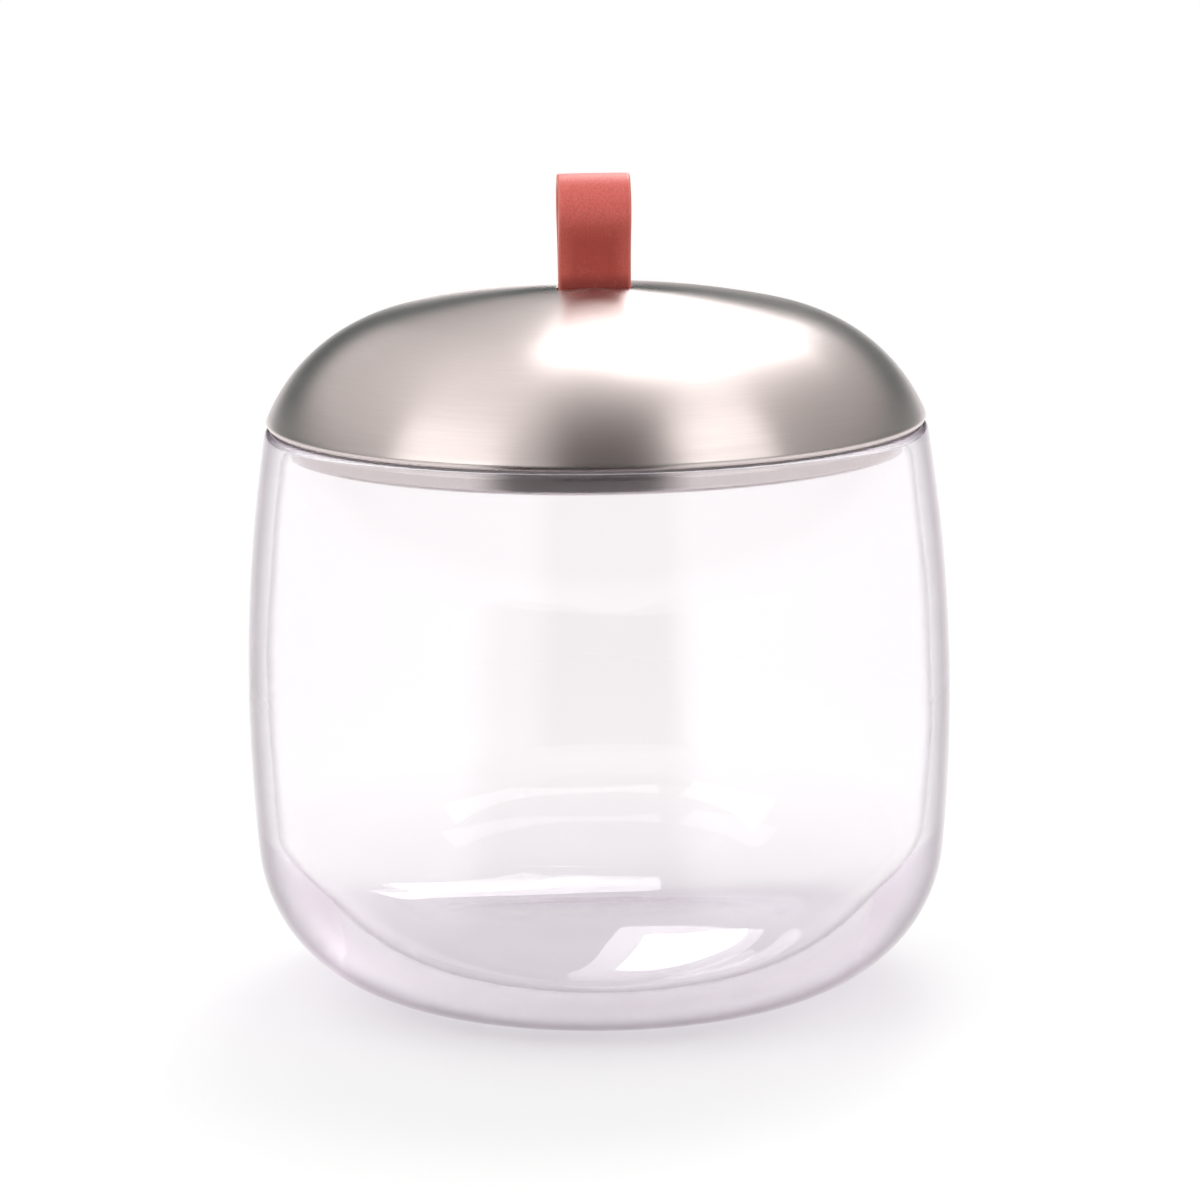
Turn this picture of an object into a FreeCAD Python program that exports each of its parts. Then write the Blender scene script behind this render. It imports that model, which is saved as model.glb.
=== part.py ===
import FreeCAD, Part
import os
import Sketcher

# Glass jar with a domed steel lid and a leather strap handle.
# Row frame in millimetres: +Z up, the origin under the middle of the jar at the
# level that it stands on, and the front of the object towards -Y.

doc = FreeCAD.newDocument("capsule_container")
sizes = doc.addObject("Spreadsheet::Sheet", "sizes")

# Sizes that are chosen, each written once: name, value, what it measures.
CHOSEN = [
    ("jar_width", 155.0, "outside diameter of the glass at its widest"),
    ("jar_height", 125.0, "height of the glass rim"),
    ("widest_height", 64.5, "height at which the glass is widest"),
    ("side_bow", 367.0, "radius of the bowed side, seen in section"),
    ("corner_radius", 34.0, "outer radius between side and base"),
    ("wall", 4.2, "thickness of the glass side"),
    ("base_thickness", 5.0, "thickness of the glass at the middle of the floor"),
    ("inner_corner", 36.0, "inner radius between side and floor"),
    ("foot_ring", 4.1, "width of the flat ring that the jar stands on"),
    ("punt_depth", 0.8, "depth of the hollow inside that ring"),
    ("rim_round", 1.6, "rounding of both edges of the rim"),
    ("seal_thickness", 0.5, "thickness of the seal between rim and lid"),
    ("seal_play", 0.3, "gap between the seal and the skirt inside it"),
    ("seal_round", 0.2, "rounding of the seal's edges"),
    ("lid_setback", 0.3, "how far the lid's edge stays inside the glass rim's"),
    ("edge_round", 1.0, "outer radius of the dome's rolled edge"),
    ("dome_rise", 29.4, "height of the dome above its rolled edge"),
    ("crown_bow", 201.0, "radius of the dome's flat crown, seen in section"),
    ("edge_lean", 23.0, "lean of the dome's side from upright at its edge, degrees"),
    ("dome_sheet", 0.8, "sheet thickness of the dome"),
    ("hem_play", 0.1, "gap between the dome's turned-in hem and the pan's bend"),
    ("skirt_gap", 0.9, "gap between the lid's skirt and the glass"),
    ("skirt_depth", 5.7, "how far the skirt reaches below the dome's edge"),
    ("pan_sheet", 0.6, "sheet thickness of the liner pan"),
    ("pan_bend", 0.5, "inner radius of the bend under the pan's flange"),
    ("pan_corner", 1.4, "outer radius at the foot of the skirt"),
    ("pan_border", 9.0, "width of the flat border round the pan's raised middle"),
    ("pan_step", 1.5, "height of that raised middle"),
    ("flange_play", 0.35, "gap between the pan's flange and the dome's inside"),
    ("strap_width", 15.8, "width of the strap"),
    ("strap_thickness", 2.0, "thickness of the strap"),
    ("strap_parting", 0.2, "gap between the two legs at the slot"),
    ("loop_height", 24.8, "height of the loop above the top of the dome"),
    ("loop_depth", 14.6, "depth of the loop, front to back"),
    ("bend_rise", 1.0, "height of the line that the loop bends about"),
    ("slot_play", 0.4, "gap round the strap in the dome's slot"),
    ("slot_corner", 1.0, "corner radius of that slot"),
    ("tail_gap", 0.3, "gap between the loop's rounded foot and the tails"),
    ("tail_length", 10.0, "length of the strap's tails inside the lid"),
    ("clamp_sheet", 1.0, "sheet thickness of the clamp brackets"),
    ("clamp_margin", 0.75, "how far a bracket is wider than the strap, each side"),
    ("clamp_bend", 0.6, "inner bend radius of a bracket"),
    ("clamp_drop", 9.0, "height of a bracket"),
    ("stud_clearance", 6.0, "distance from a bracket's cheek to the stud's axis"),
    ("clamp_land", 4.5, "length of a bracket's foot beyond the stud's axis"),
    ("stud_radius", 1.5, "radius of the weld studs"),
    ("stud_flange_radius", 2.2, "radius of the stud's welded flange"),
    ("stud_flange_height", 0.7, "height of that flange"),
    ("weld_gap", 0.02, "least gap between the stud's flange and the dome"),
    ("stud_play", 0.2, "gap round the stud in its bracket hole and washer"),
    ("stud_end", 1.0, "how far the stud shows past its nut"),
    ("washer_radius", 3.4, "outer radius of the washers"),
    ("washer_thickness", 0.5, "thickness of the washers"),
    ("nut_width", 5.5, "width of the nuts across their flats"),
    ("nut_height", 2.4, "height of the nuts"),
    ("thread_play", 0.05, "gap between nut and stud"),
    ("rivet_radius", 1.25, "radius of the rivets' shank"),
    ("rivet_head_radius", 2.3, "radius of the rivets' heads"),
    ("rivet_head_height", 0.9, "height of the rivets' heads"),
    ("rivet_edge", 3.75, "distance from a rivet's axis to the strap's edge"),
    ("rivet_play", 0.05, "gap round the rivets in their holes"),
]

# Sizes that follow from them: name, formula, what it measures. Names that end in
# _out or _up give the distance from the axis and the height of a profile's corner.
WORKED_OUT = [
    ("side_centre", "jar_width / 2 - side_bow", "centre of the side's bow, from the axis"),
    ("foot_out", "side_centre + sqrt((side_bow - corner_radius) ^ 2"
                 " - (widest_height - corner_radius) ^ 2)", "end of the flat base"),
    ("corner_out", "side_centre + (foot_out - side_centre) * side_bow"
                   " / (side_bow - corner_radius)", "where corner and side meet"),
    ("corner_up", "widest_height + (corner_radius - widest_height) * side_bow"
                  " / (side_bow - corner_radius)", "height of the same place"),
    ("rim_out", "side_centre + sqrt(side_bow ^ 2 - (jar_height - widest_height) ^ 2)",
     "outside of the rim"),
    ("inner_bow", "side_bow - wall", "radius of the side's inner face"),
    ("mouth_out", "side_centre + sqrt(inner_bow ^ 2 - (jar_height - widest_height) ^ 2)",
     "inside of the rim"),
    ("neck_out", "side_centre + sqrt(inner_bow ^ 2 - (jar_height - rim_round"
                 " - widest_height) ^ 2)", "inside of the glass where the rim's rounding ends"),
    ("inner_centre_up", "base_thickness + inner_corner", "centre of the inner corner"),
    ("floor_out", "side_centre + sqrt((inner_bow - inner_corner) ^ 2"
                  " - (widest_height - inner_centre_up) ^ 2)", "end of the flat floor"),
    ("inner_corner_out", "side_centre + (floor_out - side_centre) * inner_bow"
                         " / (inner_bow - inner_corner)", "where floor corner and side meet"),
    ("inner_corner_up", "widest_height + (inner_centre_up - widest_height) * inner_bow"
                        " / (inner_bow - inner_corner)", "height of the same place"),
    ("punt_out", "foot_out - foot_ring", "edge of the hollow under the base"),
    ("punt_bow", "(punt_out ^ 2 + punt_depth ^ 2) / (2 * punt_depth)", "radius of that hollow"),

    ("seam_up", "jar_height + seal_thickness", "underside of the dome's edge"),
    ("edge_out", "rim_out - lid_setback - edge_round", "centre of the rolled edge"),
    ("edge_up", "seam_up + edge_round", "height of the same centre"),
    ("apex_up", "seam_up + dome_rise", "top of the dome"),
    ("crown_centre_up", "apex_up - crown_bow", "centre of the crown, below the jar's base"),
    ("shoulder_out", "edge_out + edge_round * cos(edge_lean)", "where shoulder and edge meet"),
    ("shoulder_up", "edge_up + edge_round * sin(edge_lean)", "height of the same place"),
    ("shoulder_above", "shoulder_up - crown_centre_up", "the same above the crown's centre"),
    ("shoulder_bow", "(shoulder_out ^ 2 + shoulder_above ^ 2 - crown_bow ^ 2) / 2"
                     " / (shoulder_out * cos(edge_lean) + shoulder_above * sin(edge_lean)"
                     " - crown_bow)", "radius that meets crown and edge smoothly"),
    ("shoulder_centre_out", "shoulder_out - shoulder_bow * cos(edge_lean)", "its centre"),
    ("shoulder_centre_above", "shoulder_above - shoulder_bow * sin(edge_lean)", "its height"),
    ("crown_out", "shoulder_centre_out * crown_bow / (crown_bow - shoulder_bow)",
     "where crown and shoulder meet"),
    ("crown_up", "crown_centre_up + shoulder_centre_above * crown_bow"
                 " / (crown_bow - shoulder_bow)", "height of the same place"),
    ("crown_inner_bow", "crown_bow - dome_sheet", "radius of the crown's inner face"),
    ("shoulder_inner_bow", "shoulder_bow - dome_sheet", "radius of the shoulder's inner face"),
    ("edge_inner_round", "edge_round - dome_sheet", "inner radius of the rolled edge"),
    ("crown_inner_out", "shoulder_centre_out * crown_inner_bow / (crown_bow - shoulder_bow)",
     "where the inner faces of crown and shoulder meet"),
    ("crown_inner_up", "crown_centre_up + shoulder_centre_above * crown_inner_bow"
                       " / (crown_bow - shoulder_bow)", "height of the same place"),
    ("shoulder_inner_out", "shoulder_out - dome_sheet * cos(edge_lean)",
     "where the inner faces of shoulder and edge meet"),
    ("shoulder_inner_up", "shoulder_up - dome_sheet * sin(edge_lean)", "its height"),
    ("apex_inner_up", "apex_up - dome_sheet", "underside of the dome's top"),
    ("hem_up", "seam_up + dome_sheet", "top of the turned-in hem"),

    ("skirt_out", "neck_out - skirt_gap", "outside of the skirt"),
    ("skirt_up", "seam_up - skirt_depth", "underside of the skirt"),
    ("hem_out", "skirt_out + pan_bend + hem_play", "inner edge of the hem"),
    ("flange_out", "edge_out - flange_play", "edge of the pan's flange"),
    ("flange_up", "hem_up + pan_sheet", "top of the pan's flange"),
    ("flange_bend_out", "skirt_out + pan_bend", "where the flange starts to bend"),
    ("flange_bend_up", "hem_up - pan_bend", "where that bend ends"),
    ("flange_outer_bend", "pan_bend + pan_sheet", "outer radius of that bend"),
    ("skirt_inner_out", "skirt_out - pan_sheet", "inside of the skirt"),
    ("pan_corner_out", "skirt_out - pan_corner", "where the pan's border starts to bend"),
    ("pan_corner_up", "skirt_up + pan_corner", "where that bend ends"),
    ("pan_inner_corner", "pan_corner - pan_sheet", "inner radius of that bend"),
    ("pan_floor_up", "skirt_up + pan_sheet", "upper face of the border"),
    ("pan_slope_out", "skirt_out - pan_border", "where the slope to the middle starts"),
    ("pan_middle_out", "pan_slope_out - pan_step", "where that slope ends"),
    ("pan_middle_up", "skirt_up + pan_step", "lower face of the raised middle"),
    ("pan_middle_top", "pan_middle_up + pan_sheet", "upper face of the raised middle"),

    ("seal_in", "skirt_out + seal_play", "inner radius of the seal"),

    ("foot_half", "strap_thickness + strap_parting / 2", "half the strap's depth at the slot"),
    ("parting_half", "strap_parting / 2", "half the gap between its legs"),
    ("bend_up", "apex_up + bend_rise", "line that the loop bends about"),
    ("foot_low", "bend_up - foot_half", "lowest point of the loop's rounded foot"),
    ("loop_up", "apex_up + loop_height", "top of the loop"),
    ("loop_inner_up", "loop_up - strap_thickness", "top of the finger gap"),
    ("loop_bow", "loop_depth / 2", "radius of the loop's top"),
    ("loop_inner_bow", "loop_bow - strap_thickness", "inner radius of the loop's top"),
    ("loop_mid_bow", "loop_bow - strap_thickness / 2", "radius of its middle line"),
    ("foot_mid", "foot_half - strap_thickness / 2", "middle line of a leg at the slot"),
    ("loop_centre_up", "loop_up - loop_bow", "centre of the loop's top"),
    ("leg_rise", "loop_centre_up - bend_up", "the same above the bending line"),
    ("leg_mid_bow", "(leg_rise ^ 2 + foot_mid ^ 2 - loop_mid_bow ^ 2) / 2"
                    " / (loop_mid_bow - foot_mid)", "radius that meets slot and loop smoothly"),
    ("leg_bow", "leg_mid_bow - strap_thickness / 2", "radius of a leg's outer face"),
    ("leg_inner_bow", "leg_mid_bow + strap_thickness / 2", "radius of a leg's inner face"),
    ("leg_side", "(foot_mid + leg_mid_bow) / (loop_mid_bow + leg_mid_bow)",
     "sideways share of the way to the leg's centre"),
    ("leg_fall", "leg_rise / (loop_mid_bow + leg_mid_bow)", "downward share of that way"),
    ("leg_out", "loop_bow * leg_side", "where leg and loop meet outside"),
    ("leg_up", "loop_centre_up - loop_bow * leg_fall", "height of the same place"),
    ("leg_inner_out", "loop_inner_bow * leg_side", "where leg and loop meet inside"),
    ("leg_inner_up", "loop_centre_up - loop_inner_bow * leg_fall", "height of the same place"),
    ("slot_length", "strap_width + 2 * slot_play", "length of the slot"),
    ("slot_width", "2 * (foot_half + slot_play)", "width of the slot"),
    ("slot_reach", "2 * loop_up", "length of the slot's cut, to both sides of the base"),

    ("tail_top", "foot_low - tail_gap", "top of the strap's tails"),
    ("tail_low", "tail_top - tail_length", "end of the tails"),
    ("cheek_out", "foot_half + clamp_sheet", "outer face of a bracket's cheek"),
    ("stud_out", "cheek_out + stud_clearance", "axis of a stud"),
    ("stud_up", "crown_centre_up + sqrt(crown_inner_bow ^ 2"
                " - (stud_out + stud_flange_radius) ^ 2) - weld_gap", "top of a stud"),
    ("clamp_up", "stud_up - stud_flange_height", "top of a bracket's foot"),
    ("clamp_under", "clamp_up - clamp_sheet", "underside of a bracket's foot"),
    ("clamp_low", "clamp_up - clamp_drop", "lower end of a bracket"),
    ("clamp_bend_out", "cheek_out + clamp_bend", "where the foot starts to bend"),
    ("clamp_bend_up", "clamp_under - clamp_bend", "where that bend ends"),
    ("clamp_outer_bend", "clamp_bend + clamp_sheet", "outer radius of that bend"),
    ("clamp_end", "stud_out + clamp_land", "end of a bracket's foot"),
    ("clamp_width", "strap_width + 2 * clamp_margin", "width of a bracket"),
    ("stud_hole", "stud_radius + stud_play", "radius of the holes for the studs"),
    ("washer_up", "clamp_under - washer_thickness", "underside of a washer"),
    ("nut_up", "washer_up - nut_height", "underside of a nut"),
    ("nut_corner", "nut_width / sqrt(3)", "radius of a nut at its corners"),
    ("nut_hole", "stud_radius + thread_play", "radius of a nut's thread"),
    ("stud_low", "nut_up - stud_end", "lower end of a stud"),
    ("stud_length", "stud_up - stud_low", "length of a stud"),
    ("rivet_side", "strap_width / 2 - rivet_edge", "axis of a rivet, from the middle"),
    ("rivet_up", "(clamp_bend_up + clamp_low) / 2", "height of the rivets"),
    ("rivet_hole", "rivet_radius + rivet_play", "radius of the holes for the rivets"),
    ("rivet_grip", "2 * cheek_out", "length between a rivet's heads"),
    ("rivet_far_head", "rivet_head_height + rivet_grip", "start of the far head"),
    ("rivet_length", "rivet_grip + 2 * rivet_head_height", "length of a rivet"),
    ("rivet_head_bow", "(rivet_head_radius ^ 2 + rivet_head_height ^ 2)"
                       " / (2 * rivet_head_height)", "radius of a head's crown"),
]


def fill_sheet():
    """Write every size into its own named cell, with its note beside it."""
    chosen = [(name, str(value), note) for name, value, note in CHOSEN]
    worked_out = [(name, "=" + formula, note) for name, formula, note in WORKED_OUT]
    for row, (name, content, note) in enumerate(chosen + worked_out, start=1):
        sizes.set(f"A{row}", name)
        sizes.set(f"B{row}", content)
        sizes.set(f"C{row}", note)
        sizes.setAlias(f"B{row}", name)
    doc.recompute()


def size(name):
    """The value of a named cell."""
    return float(sizes.get(name))


def bind(thing, **properties):
    """Tie properties of a document object to named cells or formulas of them."""
    for name, formula in properties.items():
        thing.setExpression(name, formula)


def put(thing, across, along, up):
    """Tie an object's place to formulas for X, Y and Z; None leaves it at 0."""
    for axis, formula in zip("xyz", (across, along, up)):
        if formula is not None:
            thing.setExpression(f"Placement.Base.{axis}", formula)


def new_body(name):
    """An empty body whose label is its node's name."""
    body = doc.addObject("PartDesign::Body", name)
    body.Label = name
    return body


def origin_plane(body, role):
    """One of the body's own origin planes, such as XY_Plane."""
    return next(item for item in body.Origin.OriginFeatures if item.Role == role)


def new_sketch(body, name, role):
    """A sketch on one of the body's own origin planes."""
    sketch = body.newObject("Sketcher::SketchObject", name)
    sketch.AttachmentSupport = [(origin_plane(body, role), "")]
    sketch.MapMode = "FlatFace"
    return sketch


# The side on which an arc's centre lies for somebody who walks along the arc.
LEFT, RIGHT = 1, -1

# A sketch's own elements: its origin is the first point of its cross axis.
CROSS_AXIS, UP_AXIS = -1, -2
POINT_ON_AXIS = 1
MIDDLE = 3
SKETCH_NORMAL = FreeCAD.Vector(0, 0, 1)
SAME_PLACE = 1e-6


def arc_between(start, end, radius, side):
    """An arc under half a turn between two points, and whether it runs backwards."""
    half_chord = (end - start) / 2
    sideways = FreeCAD.Vector(-half_chord.y, half_chord.x, 0).normalize()
    height = max(radius ** 2 - half_chord.Length ** 2, 0) ** 0.5
    centre = start + half_chord + sideways * (side * height)
    first, last = (start, end) if side == LEFT else (end, start)
    turns = [FreeCAD.Vector(1, 0, 0).getAngle(point - centre) for point in (first, last)]
    for which, point in enumerate((first, last)):
        if point.y < centre.y:
            turns[which] = -turns[which]
    circle = Part.Circle(centre, SKETCH_NORMAL, radius)
    return Part.ArcOfCircle(circle, turns[0], turns[1]), side == RIGHT


def hold(sketch, cell, *constraint):
    """Add a constraint whose value is a cell."""
    number = sketch.addConstraint(Sketcher.Constraint(*constraint, size(cell)))
    sketch.setExpression(f"Constraints[{number}]", f"sizes.{cell}")


def hold_corner(sketch, edge, end, corner):
    """Hold one corner at the distances that its two cells give; None is on the axis."""
    across, up = corner
    if across is None:
        sketch.addConstraint(Sketcher.Constraint("PointOnObject", edge, end, UP_AXIS))
    else:
        hold(sketch, across, "DistanceX", CROSS_AXIS, POINT_ON_AXIS, edge, end)
    if up is None:
        sketch.addConstraint(Sketcher.Constraint("PointOnObject", edge, end, CROSS_AXIS))
    else:
        hold(sketch, up, "DistanceY", CROSS_AXIS, POINT_ON_AXIS, edge, end)


def place(corner):
    """The point that a corner's two cells name."""
    across, up = [0 if cell is None else size(cell) for cell in corner]
    return FreeCAD.Vector(across, up, 0)


def draw_outline(sketch, start, *steps):
    """Draw one closed outline from corner to corner.

    A corner is a pair of cell names. A step is the next corner, and for an arc also
    the cell of its radius and the side of its centre. The last step comes back to
    the start.
    """
    ends = []
    here = start
    for step in steps:
        corner = step[:2]
        if len(step) == 2:
            edge = sketch.addGeometry(Part.LineSegment(place(here), place(corner)))
            ends.append((edge, 1, 2))
        else:
            radius, side = step[2:]
            arc, backwards = arc_between(place(here), place(corner), size(radius), side)
            edge = sketch.addGeometry(arc)
            ends.append((edge, 2, 1) if backwards else (edge, 1, 2))
            hold(sketch, radius, "Radius", edge)
        here = corner
    for which, (edge, first, last) in enumerate(ends):
        next_edge, next_first, _ = ends[(which + 1) % len(ends)]
        sketch.addConstraint(Sketcher.Constraint("Coincident", edge, last, next_edge, next_first))
        hold_corner(sketch, edge, last, steps[which][:2])


def turn_outline(body, start, *steps):
    """Turn an outline in the XZ plane once round the Z axis."""
    sketch = new_sketch(body, body.Name + "_section", "XZ_Plane")
    draw_outline(sketch, start, *steps)
    turned = body.newObject("PartDesign::Revolution", body.Name + "_turned")
    turned.Profile = sketch
    turned.ReferenceAxis = (sketch, ["V_Axis"])
    turned.Angle = 360
    doc.recompute()
    return turned


def draw_circle(sketch, middle, radius):
    """Draw a circle whose middle and radius are cells."""
    edge = sketch.addGeometry(Part.Circle(place(middle), SKETCH_NORMAL, size(radius)))
    hold(sketch, radius, "Radius", edge)
    hold_corner(sketch, edge, MIDDLE, middle)


def draw_rectangle(sketch, length, width):
    """Draw a rectangle about the origin whose length and width are cells."""
    across, along = size(length) / 2, size(width) / 2
    corners = [(-across, -along), (across, -along), (across, along), (-across, along)]
    points = [FreeCAD.Vector(*corner, 0) for corner in corners]
    for which, kind in enumerate(["Horizontal", "Vertical", "Horizontal", "Vertical"]):
        sketch.addGeometry(Part.LineSegment(points[which], points[which - 3]))
        sketch.addConstraint(Sketcher.Constraint(kind, which))
    for which in range(4):
        sketch.addConstraint(Sketcher.Constraint("Coincident", which, 2, (which + 1) % 4, 1))
    sketch.addConstraint(Sketcher.Constraint("Symmetric", 0, 1, 2, 1, CROSS_AXIS, POINT_ON_AXIS))
    hold(sketch, length, "DistanceX", 0, 1, 0, 2)
    hold(sketch, width, "DistanceY", 1, 1, 1, 2)


def cut_through(body, sketch, length=None):
    """Cut the sketch's outline out of the body, on both sides of its plane."""
    before = body.Shape.Volume
    cut = body.newObject("PartDesign::Pocket", sketch.Name + "_cut")
    cut.Profile = sketch
    cut.SideType = "Symmetric"
    cut.Type = "Length" if length else "ThroughAll"
    if length:
        bind(cut, Length=f"sizes.{length}")
    doc.recompute()
    if not body.Shape.Volume < before:
        raise ValueError(f"{sketch.Name} cuts nothing")
    return cut


def mirror(body, feature, role):
    """Repeat a feature on the other side of one of the body's origin planes."""
    mirrored = body.newObject("PartDesign::Mirrored", feature.Name + "_mirrored")
    mirrored.Originals = [feature]
    mirrored.MirrorPlane = (origin_plane(body, role), [""])
    body.Tip = mirrored


def round_edges(body, feature, radius, wanted):
    """Round those edges of a feature for which wanted gives true."""
    names = [
        f"Edge{number}"
        for number, edge in enumerate(feature.Shape.Edges, start=1)
        if not edge.Degenerated and wanted(edge)
    ]
    rounded = body.newObject("PartDesign::Fillet", body.Name + "_rounded")
    rounded.Base = (feature, names)
    bind(rounded, Radius=f"sizes.{radius}")
    doc.recompute()


def is_level(edge, height):
    """Whether an edge lies all at one height."""
    box = edge.BoundBox
    return abs(box.ZMin - height) < SAME_PLACE and abs(box.ZMax - height) < SAME_PLACE


def is_upright(edge):
    """Whether an edge runs straight along Z."""
    box = edge.BoundBox
    return isinstance(edge.Curve, Part.Line) and box.XLength + box.YLength < SAME_PLACE


def group(name, members):
    """Separate solids that share one node."""
    together = doc.addObject("Part::Compound", name)
    together.Links = members
    return together


def make_glass_jar():
    """Barrel-shaped jar with a thick rounded bottom and a fire-polished rim."""
    body = new_body("glass_jar")
    turned = turn_outline(
        body,
        (None, "punt_depth"),
        ("punt_out", None, "punt_bow", RIGHT),
        ("foot_out", None),
        ("corner_out", "corner_up", "corner_radius", LEFT),
        ("rim_out", "jar_height", "side_bow", LEFT),
        ("mouth_out", "jar_height"),
        ("inner_corner_out", "inner_corner_up", "inner_bow", RIGHT),
        ("floor_out", "base_thickness", "inner_corner", RIGHT),
        (None, "base_thickness"),
        (None, "punt_depth"),
    )
    rim = size("jar_height")
    round_edges(body, turned, "rim_round", lambda edge: is_level(edge, rim))
    return body


def make_seal_ring():
    """Flat silicone ring on the rim, with rounded edges."""
    body = new_body("seal_ring")
    turned = turn_outline(
        body,
        ("seal_in", "jar_height"),
        ("edge_out", "jar_height"),
        ("edge_out", "seam_up"),
        ("seal_in", "seam_up"),
        ("seal_in", "jar_height"),
    )
    under, over = size("jar_height"), size("seam_up")
    round_edges(body, turned, "seal_round",
                lambda edge: is_level(edge, under) or is_level(edge, over))
    return body


def make_dome_shell():
    """Spun dome whose edge rolls in to a flat hem, with the strap's slot at its top."""
    body = new_body("dome_shell")
    turn_outline(
        body,
        (None, "apex_up"),
        ("crown_out", "crown_up", "crown_bow", RIGHT),
        ("shoulder_out", "shoulder_up", "shoulder_bow", RIGHT),
        ("edge_out", "seam_up", "edge_round", RIGHT),
        ("hem_out", "seam_up"),
        ("hem_out", "hem_up"),
        ("edge_out", "hem_up"),
        ("shoulder_inner_out", "shoulder_inner_up", "edge_inner_round", LEFT),
        ("crown_inner_out", "crown_inner_up", "shoulder_inner_bow", LEFT),
        (None, "apex_inner_up", "crown_inner_bow", LEFT),
        (None, "apex_up"),
    )
    slot = new_sketch(body, "strap_slot", "XY_Plane")
    draw_rectangle(slot, "slot_length", "slot_width")
    cut = cut_through(body, slot, "slot_reach")
    round_edges(body, cut, "slot_corner", is_upright)
    return body


def make_liner_pan():
    """Pressed pan that closes the lid: flange, skirt, border and raised middle."""
    body = new_body("liner_pan")
    turn_outline(
        body,
        (None, "pan_middle_up"),
        ("pan_middle_out", "pan_middle_up"),
        ("pan_slope_out", "skirt_up"),
        ("pan_corner_out", "skirt_up"),
        ("skirt_out", "pan_corner_up", "pan_corner", LEFT),
        ("skirt_out", "flange_bend_up"),
        ("flange_bend_out", "hem_up", "pan_bend", RIGHT),
        ("flange_out", "hem_up"),
        ("flange_out", "flange_up"),
        ("flange_bend_out", "flange_up"),
        ("skirt_inner_out", "flange_bend_up", "flange_outer_bend", LEFT),
        ("skirt_inner_out", "pan_corner_up"),
        ("pan_corner_out", "pan_floor_up", "pan_inner_corner", RIGHT),
        ("pan_slope_out", "pan_floor_up"),
        ("pan_middle_out", "pan_middle_top"),
        (None, "pan_middle_top"),
        (None, "pan_middle_up"),
    )
    return body


def pad_across(body, outline, width):
    """Pad an outline in the YZ plane to both sides by half a width."""
    sketch = new_sketch(body, body.Name + "_outline", "YZ_Plane")
    draw_outline(sketch, *outline)
    pad = body.newObject("PartDesign::Pad", body.Name + "_pad")
    pad.Profile = sketch
    pad.SideType = "Symmetric"
    bind(pad, Length=f"sizes.{width}")
    doc.recompute()
    return pad


def make_strap_loop():
    """The strap above the dome: a drop-shaped loop on a foot that is round about
    the line that it bends about."""
    body = new_body("strap_loop")
    half_outline = [
        (None, "foot_low"),
        ("foot_half", "bend_up", "foot_half", LEFT),
        ("leg_out", "leg_up", "leg_bow", RIGHT),
        (None, "loop_up", "loop_bow", LEFT),
        (None, "loop_inner_up"),
        ("leg_inner_out", "leg_inner_up", "loop_inner_bow", RIGHT),
        ("parting_half", "bend_up", "leg_inner_bow", LEFT),
        (None, "bend_up"),
        (None, "foot_low"),
    ]
    pad = pad_across(body, half_outline, "strap_width")
    mirror(body, pad, "XZ_Plane")
    return body


def rod_along_y(name, radius, length, across, start, up):
    """A cylinder along Y whose sizes and place are cells."""
    rod = doc.addObject("Part::Cylinder", name)
    bind(rod, Radius=f"sizes.{radius}", Height=f"sizes.{length}")
    rod.Placement.Rotation = FreeCAD.Rotation(FreeCAD.Vector(1, 0, 0), -90)
    put(rod, across, start, up)
    return rod


def make_strap_tails():
    """The two ends of the strap inside the lid, each with its rivet holes."""
    tails = []
    for name, start in (("front_tail", "-sizes.foot_half"), ("rear_tail", "sizes.parting_half")):
        blank = doc.addObject("Part::Box", name + "_blank")
        bind(blank, Length="sizes.strap_width", Width="sizes.strap_thickness",
             Height="sizes.tail_length")
        put(blank, "-sizes.strap_width / 2", start, "sizes.tail_low")
        tail = blank
        for side, sign in (("left", "-"), ("right", "")):
            hole = rod_along_y(f"{name}_{side}_hole", "rivet_hole", "rivet_grip",
                               f"{sign}sizes.rivet_side", "-sizes.cheek_out", "sizes.rivet_up")
            drilled = doc.addObject("Part::Cut", f"{name}_{side}_drilled")
            drilled.Base = tail
            drilled.Tool = hole
            tail = drilled
        tails.append(tail)
    return group("strap_tails", tails)


def make_clamp(name, turn):
    """L-shaped bracket beside the strap's tails: a cheek with two rivet holes and a
    foot with the hole for its stud. It is drawn behind the strap, then turned."""
    body = new_body(name)
    outline = [
        ("foot_half", "clamp_low"),
        ("cheek_out", "clamp_low"),
        ("cheek_out", "clamp_bend_up"),
        ("clamp_bend_out", "clamp_under", "clamp_bend", RIGHT),
        ("clamp_end", "clamp_under"),
        ("clamp_end", "clamp_up"),
        ("clamp_bend_out", "clamp_up"),
        ("foot_half", "clamp_bend_up", "clamp_outer_bend", LEFT),
        ("foot_half", "clamp_low"),
    ]
    pad_across(body, outline, "clamp_width")
    stud_hole = new_sketch(body, name + "_stud_hole", "XY_Plane")
    draw_circle(stud_hole, (None, "stud_out"), "stud_hole")
    cut_through(body, stud_hole)
    rivet_hole = new_sketch(body, name + "_rivet_hole", "XZ_Plane")
    draw_circle(rivet_hole, ("rivet_side", "rivet_up"), "rivet_hole")
    mirror(body, cut_through(body, rivet_hole), "YZ_Plane")
    body.Placement.Rotation = FreeCAD.Rotation(FreeCAD.Vector(0, 0, 1), turn)
    return body


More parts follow.
